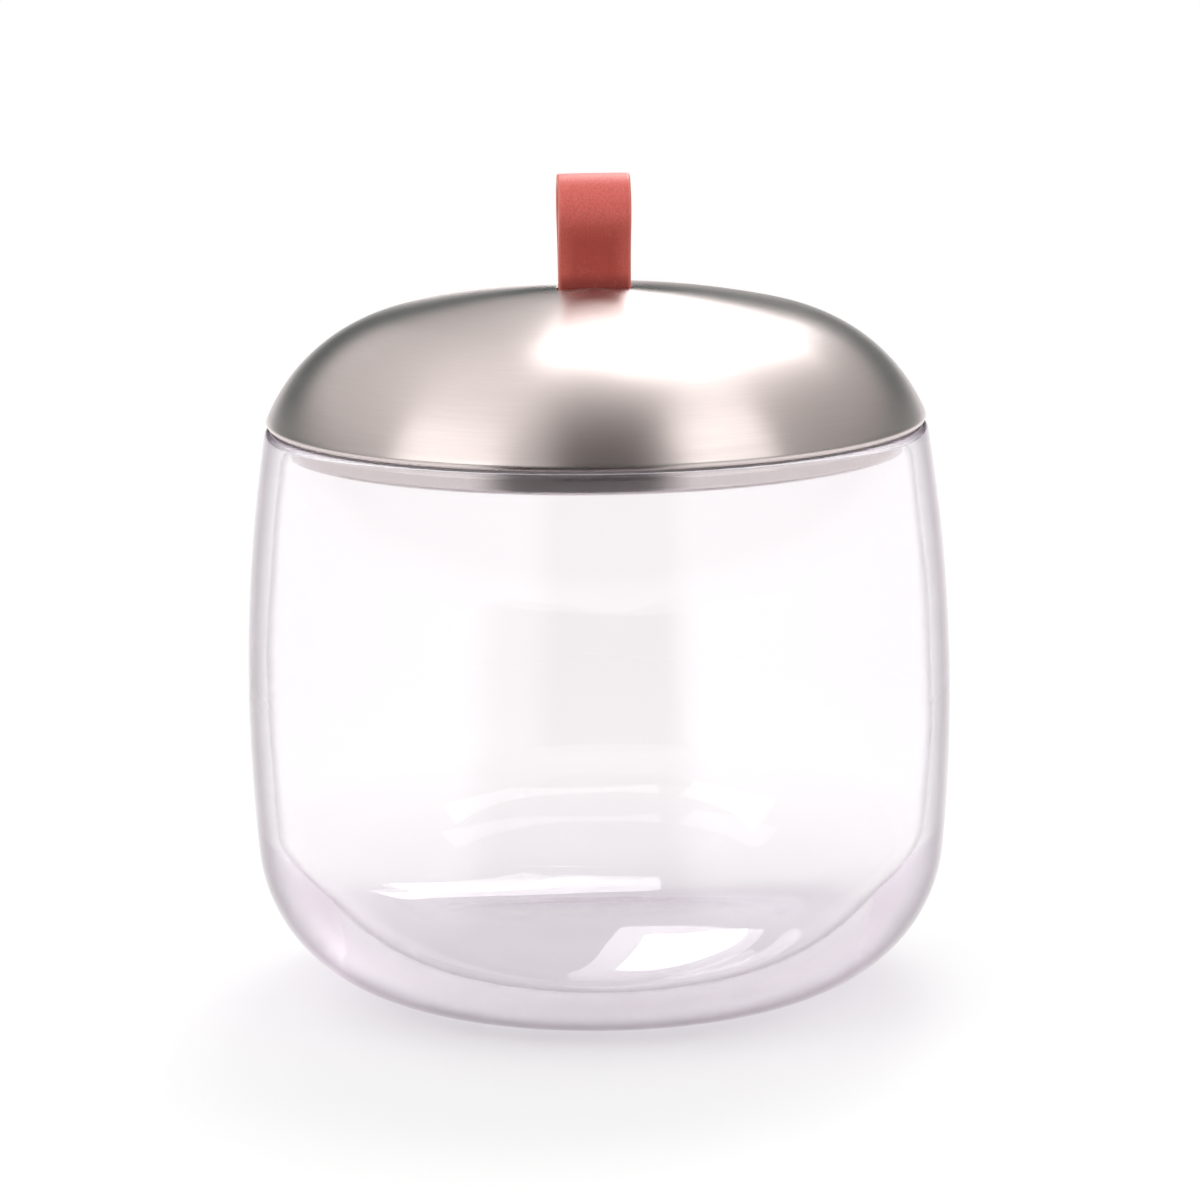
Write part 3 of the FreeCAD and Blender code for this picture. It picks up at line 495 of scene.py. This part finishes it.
def make_strap_leather():
    """Coral red smooth leather on the strip laid flat, its width, length and thickness:
    pebbles a third of a millimetre across with fine pores, clouded dye, painted light
    that makes it paler over its fold, painted shade that makes it darker on the legs
    away from the edges and darkest by the slot, paler edge paint, and scuffs."""
    material, tree, output = new_material("strap_leather")
    flat = add(tree, "Attribute", attribute_name="laid_flat").outputs["Vector"]
    across, along, depth = add(tree, "SeparateXYZ", {0: flat}).outputs
    half_width = loop_high.x
    from_edge = value_of(tree, "SUBTRACT", half_width, value_of(tree, "ABSOLUTE", across))
    painted = ramp(tree, from_edge, 0.15 * MM, 0.85 * MM, 1.0, 0.0)

    pebbles = add(tree, "TexVoronoi", {"Vector": flat, "Scale": 2600.0}, feature="SMOOTH_F1")
    pebbles.inputs["Smoothness"].default_value = 0.6
    swell = value_of(tree, "SUBTRACT", 1.0, pebbles.outputs["Distance"])
    fine = noise(tree, flat, 5200.0, 3.0, 0.6)
    pores = ramp(tree, noise(tree, flat, 3100.0, 1.0), 0.68, 0.80)
    clouds = noise(tree, flat, 190.0, 4.0, 0.6)
    streaks = noise(tree, add(tree, "Mapping", {"Vector": flat, "Scale": (900.0, 90.0, 300.0)})
                    .outputs[0], 1.0, 3.0)
    scuffed = ramp(tree, noise(tree, flat, 420.0, 3.0, 0.6, 0.8), 0.56, 0.74)

    from_fold = value_of(tree, "SUBTRACT", along, strap_course()[1][-1] / 2)
    from_fold = value_of(tree, "ABSOLUTE", from_fold)
    # Painted light: the colour is paler over the top fold, where the loop faces up to the lamps.
    painted_fold_light = ramp(tree, from_fold, 8.0 * MM, 17.0 * MM, 1.0, 0.0)
    # Painted shade: darker on the legs below the fold and on down, away from the edges, where the
    # strap faces down and away from the lamps.
    painted_leg_shade = value_of(tree, "MULTIPLY", ramp(tree, from_fold, 10.0 * MM, 18.0 * MM),
                       ramp(tree, from_edge, 0.5 * MM, 4.5 * MM))
    # Painted shadow: darkest from just above the slot on down, where the strap goes into the dome.
    painted_slot_shade = ramp(tree, from_fold, 24.8 * MM, 27.8 * MM)

    colour = colour_between(tree, clouds, rgb(0.61, 0.108, 0.083), rgb(0.71, 0.142, 0.110))
    # Painted light over the fold, then painted shade on the legs and by the slot.
    colour = colour_between(tree, value_of(tree, "MULTIPLY", painted_fold_light, 0.5), colour,
                            rgb(0.76, 0.150, 0.135))
    colour = colour_between(tree, value_of(tree, "MULTIPLY", painted_leg_shade, 0.75), colour,
                            rgb(0.44, 0.056, 0.042))
    colour = colour_between(tree, value_of(tree, "MULTIPLY", painted_slot_shade, 0.8), colour,
                            rgb(0.22, 0.030, 0.022))
    colour = colour_between(tree, value_of(tree, "MULTIPLY", streaks, 0.2), colour,
                            rgb(0.64, 0.125, 0.100))
    hollow = ramp(tree, pebbles.outputs["Distance"], 0.35, 0.75)
    colour = colour_between(tree, value_of(tree, "MULTIPLY", hollow, 0.28), colour,
                            rgb(0.36, 0.055, 0.042))
    colour = colour_between(tree, value_of(tree, "MULTIPLY", pores, 0.5), colour,
                            rgb(0.26, 0.035, 0.028))
    colour = colour_between(tree, value_of(tree, "MULTIPLY", scuffed, 0.22), colour,
                            rgb(0.74, 0.225, 0.180))
    colour = colour_between(tree, value_of(tree, "MULTIPLY", painted, 0.75), colour,
                            rgb(0.74, 0.190, 0.145))

    roughness = value_of(tree, "MULTIPLY_ADD", fine, 0.12, 0.40)
    roughness = value_of(tree, "MULTIPLY_ADD", scuffed, 0.10, roughness)
    roughness = value_of(tree, "MULTIPLY_ADD", painted, -0.10, roughness)
    relief = value_of(tree, "MULTIPLY_ADD", fine, 0.35, swell)
    relief = value_of(tree, "MULTIPLY_ADD", pores, -0.6, relief)
    grain_left = value_of(tree, "SUBTRACT", 1.0, value_of(tree, "MULTIPLY", painted, 0.7))
    relief = value_of(tree, "MULTIPLY", relief, grain_left)
    bump = add(tree, "Bump", {"Height": relief, "Strength": 0.35, "Distance": 0.00006})
    leather = add(tree, "BsdfPrincipled", {
        "Base Color": colour, "Roughness": roughness, "Specular IOR Level": 0.45,
        "Sheen Weight": 0.12, "Sheen Roughness": 0.35, "Sheen Tint": rgb(1.0, 0.75, 0.70),
        "Normal": bump.outputs[0],
    })
    tree.links.new(leather.outputs[0], output.inputs["Surface"])
    return material


def make_fixing_steel():
    """Zinc-plated fixings: a slight yellow and blue cast in clouds, fine crystals in the
    plating, hairlines from the spanner and specks of dust."""
    material, tree, output = new_material("fixing_steel")
    place = object_place(tree)
    clouds = noise(tree, place, 260.0, 3.0)
    crystals = add(tree, "TexVoronoi", {"Vector": place, "Scale": 2400.0})
    scratch = effect(tree, HAIRLINES, "Scratch", Density=5.0, Width=0.03)
    specks = effect(tree, DUST, "Specks", Grain=0.0005, Cover=0.15)
    colour = colour_between(tree, clouds, rgb(0.50, 0.515, 0.55), rgb(0.60, 0.58, 0.52))
    tone = add(tree, "SeparateColor", {0: crystals.outputs["Color"]}).outputs[0]
    colour = colour_between(tree, value_of(tree, "MULTIPLY", tone, 0.18), colour,
                            rgb(0.42, 0.42, 0.43))
    colour = colour_between(tree, value_of(tree, "MULTIPLY", specks, 0.3), colour,
                            rgb(0.34, 0.33, 0.31))
    roughness = value_of(tree, "MULTIPLY_ADD", clouds, 0.16, 0.28)
    roughness = value_of(tree, "MULTIPLY_ADD", specks, 0.3, roughness)
    relief = value_of(tree, "MULTIPLY_ADD", scratch, -0.8, tone)
    bump = add(tree, "Bump", {"Height": relief, "Strength": 0.2, "Distance": 0.00004})
    steel = add(tree, "BsdfPrincipled", {
        "Base Color": colour, "Metallic": 1.0, "Roughness": roughness,
        "Normal": bump.outputs[0],
    })
    tree.links.new(steel.outputs[0], output.inputs["Surface"])
    return material


# Pieces


def jar_profile():
    """Section of the glass, from the axis under the base out, up the bowed side, over
    the rim and down the inside to the axis on the floor. Side and corners are arcs that
    touch: a corner's centre lies on the line from the side's centre to where they meet."""
    side = np.array([jar_high.x - SIDE_BOW, WIDEST_HEIGHT])
    inner_bow = SIDE_BOW - WALL

    def out_at(radius, up):
        return side[0] + sqrt(radius ** 2 - (up - side[1]) ** 2)

    def lean(centre):
        return degrees(atan2(centre[1] - side[1], centre[0] - side[0]))

    corner = (out_at(SIDE_BOW - CORNER_RADIUS, CORNER_RADIUS), CORNER_RADIUS)
    punt_out = corner[0] - FOOT_RING
    punt_bow = (punt_out ** 2 + PUNT_DEPTH ** 2) / (2 * PUNT_DEPTH)
    punt = (0.0, PUNT_DEPTH - punt_bow)
    rim_up = jar_high.z - RIM_ROUND
    outer_rim = (out_at(SIDE_BOW - RIM_ROUND, rim_up), rim_up)
    inner_rim = (out_at(inner_bow + RIM_ROUND, rim_up), rim_up)
    inner_up = BASE_THICKNESS + INNER_CORNER
    inner = (out_at(inner_bow - INNER_CORNER, inner_up), inner_up)
    return joined(
        arc(punt, punt_bow, 90.0, degrees(atan2(-punt[1], punt_out)), 14),
        line((punt_out, 0.0), (corner[0], 0.0), 4, 0.3 * MM),
        arc(corner, CORNER_RADIUS, -90.0, lean(corner), 34),
        arc(side, SIDE_BOW, lean(corner), lean(outer_rim), 52),
        arc(outer_rim, RIM_ROUND, lean(outer_rim), 90.0, 8),
        arc(inner_rim, RIM_ROUND, 90.0, 180.0 + lean(inner_rim), 9),
        arc(side, inner_bow, lean(inner_rim), lean(inner), 52),
        arc(inner, INNER_CORNER, lean(inner), -90.0, 34),
        line((inner[0], BASE_THICKNESS), (0.0, BASE_THICKNESS), 14, 0.3 * MM),
    )


def make_glass_jar(finish):
    """The turned section of the glass. Its inner face waves a little, as blown glass
    does: the distance from the axis grows by a sum of sines of angle and height that
    fades out towards the rim and the floor."""
    grid = turned(jar_profile())
    turn = np.arctan2(grid[..., 1], grid[..., 0])
    out, up = np.hypot(grid[..., 0], grid[..., 1]), grid[..., 2]
    height = up / jar_high.z
    wave = (np.sin(3 * turn + 0.4 + 5 * height) + 0.6 * np.sin(7 * turn + 2.1 - 9 * height)
            + 0.35 * np.sin(13 * turn + 4.0 + 17 * height)) / 1.95
    inner_face = np.arange(len(grid))[:, None] > np.argmax(up[:, 0])
    fade = np.clip((jar_high.z - 4 * MM - up) / (25 * MM), 0, 1)
    fade = fade * np.clip((up - BASE_THICKNESS) / (20 * MM), 0, 1)
    stretch = 1 + inner_face * fade * INNER_WAVE * wave / np.maximum(out, MM)
    grid[..., :2] *= stretch[..., None]
    return new_piece("glass_jar_blown", grid, finish)


def make_seal_ring(finish):
    """Turned rectangle with rounded corners."""
    inner = neck_out - SKIRT_GAP + SEAL_PLAY
    low, high, outer = seal_low.z, seal_high.z, seal_high.x
    corners = [(inner, low), (outer, low), (outer, high), (inner, high)]
    section = rounded(corners, [SEAL_ROUND] * 4, 4, closed=True)
    return new_piece("seal_ring_moulded", turned(section), finish, joins=True)


def slot_outline():
    """Points of the dome's slot at even lengths round it, and the way outwards at each:
    the strap's section grown by the play, with rounded corners."""
    half_length = loop_high.x + SLOT_PLAY
    half_width = STRAP_THICKNESS + STRAP_PARTING / 2 + SLOT_PLAY
    corners = [(half_length, -half_width), (half_length, half_width),
               (-half_length, half_width), (-half_length, -half_width)]
    outline = rounded(corners, [SLOT_CORNER] * 4, 24, closed=True)
    start = np.argmin(np.abs(outline[:, 1]) + (outline[:, 0] < 0))
    outline = np.roll(outline, -start, axis=0)
    outline = np.vstack([[half_length, 0.0], outline[outline[:, 1] > 0],
                         outline[outline[:, 1] < 0], [half_length, 0.0]])
    turn = np.arctan2(outline[:, 1], outline[:, 0]) % (2 * pi)
    turn[-1] = 2 * pi
    outline = outline[np.argsort(turn, kind="stable")]
    length = np.concatenate([[0], np.cumsum(np.linalg.norm(np.diff(outline, axis=0), axis=1))])
    even = np.linspace(0, length[-1], AROUND, endpoint=False)
    points = np.column_stack([np.interp(even, length, outline[:, axis]) for axis in (0, 1)])
    along = np.roll(points, -1, axis=0) - np.roll(points, 1, axis=0)
    outwards = np.column_stack([along[:, 1], -along[:, 0]])
    return points, outwards / np.linalg.norm(outwards, axis=1)[:, None]


def make_dome_shell(finish):
    """Spun dome as a closed sheet. Outside it the crown, the shoulder and the rolled edge
    are arcs that touch; inside it they are offset by the sheet. Near the slot the rings
    go over from circles to the slot's outline: each point moves straight from its place
    on the circle to its place on the slot, at the height of the crown there."""
    seam, apex = dome_low.z, dome_low.z + DOME_RISE
    edge = np.array([dome_high.x - EDGE_ROUND, seam + EDGE_ROUND])
    lean = np.array([cos(radians(EDGE_LEAN)), sin(radians(EDGE_LEAN))])
    crown = np.array([0.0, apex - CROWN_BOW])
    meet = edge + EDGE_ROUND * lean - crown
    shoulder_bow = (meet @ meet - CROWN_BOW ** 2) / 2 / (meet @ lean - CROWN_BOW)
    shoulder = crown + meet - shoulder_bow * lean
    crown_end = degrees(atan2(shoulder[1] - crown[1], shoulder[0]))
    blend_start = degrees(np.arccos(SLOT_BLEND / CROWN_BOW))
    inner_blend = degrees(np.arccos(SLOT_BLEND / (CROWN_BOW - DOME_SHEET)))
    hem_out = neck_out - SKIRT_GAP + PAN_BEND + HEM_PLAY
    hem_up = seam + DOME_SHEET
    section = joined(
        arc(crown, CROWN_BOW, blend_start, crown_end, 18),
        arc(shoulder, shoulder_bow, crown_end, EDGE_LEAN, 40),
        arc(edge, EDGE_ROUND, EDGE_LEAN, -90.0, 12),
        rounded([(edge[0], seam), (hem_out, seam), (hem_out, hem_up), (edge[0], hem_up)],
                [0, SHEET_ROUND, SHEET_ROUND, 0], 4),
        arc(edge, EDGE_ROUND - DOME_SHEET, -90.0, EDGE_LEAN, 6),
        arc(shoulder, shoulder_bow - DOME_SHEET, EDGE_LEAN, crown_end, 20),
        arc(crown, CROWN_BOW - DOME_SHEET, crown_end, inner_blend, 9),
    )
    slot, outwards = slot_outline()
    turn = np.linspace(0, 2 * pi, AROUND, endpoint=False)
    circle = SLOT_BLEND * np.column_stack([np.cos(turn), np.sin(turn)])

    def on_crown(flat, bow, below=0.0):
        """Flat points raised to the crown of a given radius, less a drop."""
        up = crown[1] + np.sqrt(bow ** 2 - (flat ** 2).sum(axis=-1)) - below
        return np.concatenate([flat, up[..., None]], axis=-1)

    lip = slot + outwards * SLOT_ROUND
    share = np.linspace(0, 1, 13)[:-1, None, None] ** 1.5
    spread = lip + share * (circle - lip)
    quarter = np.radians(np.linspace(0, 90, 5))[:, None, None]
    rolled = slot + outwards * SLOT_ROUND * (1 - np.sin(quarter))
    drop = SLOT_ROUND * (1 - np.cos(quarter[..., 0]))
    outside = on_crown(spread, CROWN_BOW)
    over = on_crown(rolled, CROWN_BOW, drop)[::-1][:-1]
    inner_bow = CROWN_BOW - DOME_SHEET
    inside = on_crown(spread, inner_bow)[::-1]
    under = on_crown(rolled, inner_bow, -drop)[1:]
    grid = np.concatenate([over, outside, turned(section), inside, under])
    return new_piece("dome_shell_spun", grid, finish, joins=True)


def make_liner_pan(finish):
    """Pressed pan as a closed sheet, turned from the axis under the raised middle out to
    the flange and back above to the axis. Every bend is rounded, the inner side by the
    sheet less than the outer."""
    skirt = neck_out - SKIRT_GAP
    low, high = pan_low.z, pan_high.z
    middle = low + PAN_STEP
    slope = skirt - PAN_BORDER
    press_in, press_out = PAN_PRESS, PAN_PRESS - 0.5 * PAN_SHEET
    corners = [
        (0.0, middle), (slope - PAN_STEP, middle), (slope, low), (skirt, low),
        (skirt, high - PAN_SHEET), (pan_high.x, high - PAN_SHEET), (pan_high.x, high),
        (skirt - PAN_SHEET, high), (skirt - PAN_SHEET, low + PAN_SHEET),
        (slope, low + PAN_SHEET), (slope - PAN_STEP, middle + PAN_SHEET),
        (0.0, middle + PAN_SHEET),
    ]
    radii = [
        0, press_out, press_in, PAN_CORNER, PAN_BEND, SHEET_ROUND, SHEET_ROUND,
        PAN_BEND + PAN_SHEET, PAN_CORNER - PAN_SHEET, press_out, press_in, 0,
    ]
    return new_piece("liner_pan_pressed", turned(rounded(corners, radii, 7)), finish)


def strap_course():
    """Middle line of the strap from its front end inside the lid, up through the slot,
    round the loop and back down: upright tail, leg arc, top arc, and the mirrored way.
    Its points stand at even lengths, with the length at each."""
    foot_mid = STRAP_PARTING / 2 + STRAP_THICKNESS / 2
    bend_up = loop_low.z + STRAP_THICKNESS + STRAP_PARTING / 2
    top_bow = loop_high.y - STRAP_THICKNESS / 2
    top_up = loop_high.z - loop_high.y
    rise = top_up - bend_up
    leg_bow = (rise ** 2 + foot_mid ** 2 - top_bow ** 2) / 2 / (top_bow - foot_mid)
    meet = degrees(atan2(rise, foot_mid + leg_bow))
    half = joined(
        line((foot_mid, tail_low.z), (foot_mid, bend_up), 60),
        arc((foot_mid + leg_bow, bend_up), leg_bow, 180.0, 180.0 - meet, 120),
        arc((0.0, top_up), top_bow, -meet, 90.0, 240),
    )
    course = np.vstack([half * (-1, 1), half[::-1][1:]])
    length = np.concatenate([[0], np.cumsum(np.linalg.norm(np.diff(course, axis=0), axis=1))])
    even = np.linspace(0, length[-1], 171)
    return np.column_stack([np.interp(even, length, course[:, axis]) for axis in (0, 1)]), even


def make_strap(finish):
    """Leather strip carried along the strap's course: its section, across and through
    the thickness, is a rectangle with rounded corners that thins by a fifteenth towards
    its edges. Each end closes with a fan, a little inside a rounded border. The mark
    laid_flat keeps each point's place on the strip before it was folded."""
    half_width, half_depth = loop_high.x, STRAP_THICKNESS / 2
    corners = [(half_width, -half_depth), (half_width, half_depth),
               (-half_width, half_depth), (-half_width, -half_depth)]
    outline = rounded(corners, [STRAP_EDGE_ROUND] * 4, 6, closed=True)
    span = half_width - 1.3 * STRAP_EDGE_ROUND
    rear, front = outline[outline[:, 1] > 0], outline[outline[:, 1] < 0]
    rear = rear[np.argsort(-rear[:, 0], kind="stable")]
    front = front[np.argsort(front[:, 0], kind="stable")]
    inner = np.linspace(-span, span, 15)
    rear_flat = np.column_stack([inner[::-1], np.full(len(inner), half_depth)])
    front_flat = np.column_stack([inner, np.full(len(inner), -half_depth)])
    turn_rear = np.vstack([rear[rear[:, 0] > span], rear_flat, rear[rear[:, 0] < -span]])
    turn_front = np.vstack([front[front[:, 0] < -span], front_flat, front[front[:, 0] > span]])
    outline = np.vstack([turn_rear, turn_front])
    outline[:, 1] *= 1 - (np.abs(outline[:, 0]) / half_width) ** 6 / 15

    course, length = strap_course()
    along = np.gradient(course, axis=0)
    along /= np.linalg.norm(along, axis=1)[:, None]
    sideways = np.column_stack([along[:, 1], -along[:, 0]])
    place = course[:, None] - sideways[:, None] * outline[:, 1:]
    width = np.broadcast_to(outline[:, 0], place.shape[:2])
    grid = np.concatenate([width[..., None], place], axis=-1)
    laid = np.stack([width, np.broadcast_to(length[:, None], width.shape),
                     np.broadcast_to(outline[:, 1], width.shape)], axis=-1)

    def ended(rings, end):
        """Rings with a slightly smaller ring and a middle point closing one end."""
        middle = rings[end].mean(axis=0)
        inset = middle + (rings[end] - middle) * (1 - 0.25 * MM / half_depth)
        point = np.broadcast_to(middle, inset.shape)
        return [point, inset] if end == 0 else [inset, point]

    grid = np.concatenate([ended(grid, 0), grid, ended(grid, -1)])
    laid = np.concatenate([ended(laid, 0), laid, ended(laid, -1)])
    return new_piece("strap_folded", grid, finish, laid_flat=laid)


def finish_fixings(finish):
    """Give the kept fixings inside the lid their plating."""
    for name in ("front_clamp", "rear_clamp", "strap_rivets", "weld_studs",
                 "stud_washers", "stud_nuts"):
        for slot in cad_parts[name].material_slots:
            slot.material = finish


# The stage


def make_floor():
    """Pale floor round the object: flat rings that grow outwards. It is lit like paper
    near the object and goes over to plain white for what sees it directly, in metal or
    through glass, a little brighter than white after a mirroring or in glass. In front of
    the object a dark sector shows only after a mirroring. From below the floor isn't
    seen."""
    material, tree, output = new_material("floor_paper")
    place = add(tree, "SeparateXYZ", {0: object_place(tree)}).outputs
    level = add(tree, "CombineXYZ", {0: place[0], 1: place[1]}).outputs[0]
    out = add(tree, "VectorMath", {0: level}, operation="LENGTH").outputs["Value"]
    paper = add(tree, "BsdfDiffuse", {"Color": rgb(0.90, 0.90, 0.90)})
    ray = add(tree, "LightPath").outputs
    sector = towards(DARK_SECTOR_AZIMUTH, 0.0)
    ahead = add(tree, "VectorMath", {0: level, 1: sector}, operation="DOT_PRODUCT")
    ahead = value_of(tree, "DIVIDE", ahead.outputs["Value"], value_of(tree, "MAXIMUM", out, MM))
    gap = value_of(tree, "MULTIPLY", ramp(tree, ahead, 0.78, 0.93), ramp(tree, out, 0.08, 0.13))
    after_mirroring = value_of(tree, "GREATER_THAN", ray["Glossy Depth"], 0.5)
    gap = value_of(tree, "MULTIPLY", gap, after_mirroring)
    mirrored = colour_between(tree, gap, rgb(1.15, 1.13, 1.13), rgb(0.05, 0.04, 0.04))
    shown = colour_between(tree, ray["Is Glossy Ray"], rgb(1.0, 1.0, 1.0), mirrored)
    white = add(tree, "Emission", {"Color": shown, "Strength": 1.0})
    seen = value_of(tree, "MAXIMUM", ray["Is Camera Ray"],
                    value_of(tree, "MAXIMUM", ray["Is Glossy Ray"], ray["Is Transmission Ray"]))
    far = value_of(tree, "MAXIMUM", ramp(tree, out, 0.10, 0.36, 0.30, 1.0), gap)
    share = value_of(tree, "MULTIPLY", far, seen)
    top = add(tree, "MixShader", {0: share, 1: paper.outputs[0], 2: white.outputs[0]})
    through = add(tree, "BsdfTransparent")
    below = value_of(tree, "MULTIPLY", add(tree, "NewGeometry").outputs["Backfacing"],
                     ray["Is Camera Ray"])
    surface = add(tree, "MixShader", {0: below, 1: top.outputs[0], 2: through.outputs[0]})
    tree.links.new(surface.outputs[0], output.inputs["Surface"])

    reach = np.concatenate([[0.0], np.geomspace(0.05, FLOOR_REACH, 24)])
    grid = turned(np.column_stack([reach, np.full(len(reach), -FLOOR_DROP)]), 96)
    floor = new_piece("floor", grid, material)
    if floor.data.polygons[0].normal.z < 0:
        floor.data.flip_normals()


def make_room():
    """Light of the room by direction: white at and below the horizon, a dark band just
    above it that metal mirrors in its outline, then soft walls, paler on the left, with
    a dark gap in front of the object and a ceiling that is brighter on the left and in
    one strip on the right. What is seen through glass goes from white at the horizon to
    pale grey above, and what looks at the room directly sees plain white."""
    world = bpy.data.worlds.new("studio_room")
    bpy.context.scene.world = world
    world.use_nodes = True
    tree = world.node_tree
    tree.nodes.clear()
    way = add(tree, "SeparateXYZ", {0: add(tree, "TexCoord").outputs["Generated"]}).outputs
    walls = colour_between(tree, ramp(tree, way[0], -0.4, 0.5), rgb(0.88, 0.87, 0.86),
                           rgb(0.56, 0.55, 0.54))
    ceiling = colour_between(tree, ramp(tree, way[0], -0.30, 0.0), rgb(1.25, 1.24, 1.23),
                             rgb(0.75, 0.74, 0.73))
    strip = ramp(tree, value_of(tree, "ABSOLUTE", value_of(tree, "SUBTRACT", way[0], 0.45)),
                 0.05, 0.22, 1.0, 0.0)
    ceiling = colour_between(tree, strip, ceiling, rgb(1.30, 1.29, 1.28))
    walls = colour_between(tree, ramp(tree, way[2], 0.55, 0.95), walls, ceiling)
    sideways = value_of(tree, "ABSOLUTE", way[0])
    front = value_of(tree, "MULTIPLY", ramp(tree, sideways, 0.14, 0.42, 1.0, 0.0),
                     ramp(tree, way[1], -0.55, -0.10, 1.0, 0.0))
    walls = colour_between(tree, front, walls, rgb(0.15, 0.138, 0.134))
    band = colour_between(tree, ramp(tree, way[2], 0.0, 0.05), rgb(1.0, 1.0, 1.0),
                          rgb(0.06, 0.085, 0.08))
    light = colour_between(tree, ramp(tree, way[2], 0.24, 0.38), band, walls)
    ray = add(tree, "LightPath").outputs
    behind_glass = colour_between(tree, ramp(tree, way[2], 0.10, 0.75), rgb(1.0, 1.0, 1.0),
                                  rgb(0.62, 0.60, 0.62))
    light = colour_between(tree, ray["Is Transmission Ray"], light, behind_glass)
    light = colour_between(tree, ray["Is Camera Ray"], light, rgb(1.0, 1.0, 1.0))
    background = add(tree, "Background", {"Color": light, "Strength": 1.0})
    output = add(tree, "OutputWorld")
    tree.links.new(background.outputs[0], output.inputs["Surface"])


def towards(azimuth, elevation):
    """Direction from the object: azimuth from +Y towards +X, elevation above level."""
    turn, rise = radians(azimuth), radians(elevation)
    return Vector((cos(rise) * sin(turn), cos(rise) * cos(turn), sin(rise)))


def add_softbox(name, azimuth, elevation, width, height, brightness, roll=0.0, mirrored=True):
    """Soft rectangular lamp that faces the object, its top rolled to the left by degrees.
    Its power is its brightness times pi times its area. The camera doesn't see it
    directly, and metal sees it if mirrored."""
    light = bpy.data.lights.new(name, "AREA")
    light.shape = "RECTANGLE"
    light.size, light.size_y = width, height
    light.energy = brightness * pi * width * height
    lamp = bpy.data.objects.new(name, light)
    away = towards(azimuth, elevation)
    facing = away.to_track_quat("Z", "Y").to_matrix() @ Matrix.Rotation(-radians(roll), 3, "Z")
    lamp.rotation_euler = facing.to_euler()
    lamp.location = away * LAMP_DISTANCE + Vector((0, 0, LAMP_AIM_HEIGHT))
    lamp.visible_camera = False
    lamp.visible_glossy = mirrored
    bpy.context.scene.collection.objects.link(lamp)


def light_stage():
    """Two upright soft lights behind and above the object, a soft light on each side of
    the camera, and a broad fill from above in front that metal doesn't mirror."""
    add_softbox("back_light", 9.0, 45.5, 0.48, 1.50, 4.2, roll=8.0)
    add_softbox("side_light", 25.0, 51.0, 0.42, 1.05, 4.2)
    add_softbox("left_light", -120.0, 34.0, 1.10, 0.66, 1.55)
    add_softbox("right_light", 131.0, 39.5, 0.90, 0.72, 1.85)
    add_softbox("front_fill", 178.0, 40.0, 1.50, 0.60, 1.6, mirrored=False)
    bpy.context.scene.view_settings.view_transform = "Standard"


def aim_camera():
    """Long lens at the photograph's distance, height and slight tilt."""
    data = bpy.data.cameras.new("camera")
    data.sensor_width = 36.0
    data.lens = LENS
    camera = bpy.data.objects.new("camera", data)
    away = towards(CAMERA_AZIMUTH, CAMERA_ELEVATION)
    level = away.to_track_quat("Z", "Y").to_matrix().to_4x4()
    place = Vector(CAMERA_TARGET) + CAMERA_DISTANCE * away
    camera.matrix_world = (Matrix.Translation(place) @ level
                           @ Matrix.Rotation(radians(CAMERA_ROLL), 4, "Z"))
    bpy.context.scene.collection.objects.link(camera)
    bpy.context.scene.camera = camera


glass_jar = make_glass_jar(make_clear_glass())
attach(glass_jar, "jar")
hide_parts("glass_jar")

seal_ring = make_seal_ring(make_seal_silicone())
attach(seal_ring, "seal")
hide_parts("seal_ring")

dome_shell = make_dome_shell(make_satin_steel())
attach(dome_shell, "lid")
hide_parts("dome_shell")

liner_pan = make_liner_pan(make_liner_steel())
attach(liner_pan, "lid")
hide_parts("liner_pan")

strap = make_strap(make_strap_leather())
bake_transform(strap)
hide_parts("strap_loop", "strap_tails")

finish_fixings(make_fixing_steel())

make_floor()
make_room()
light_stage()
aim_camera()
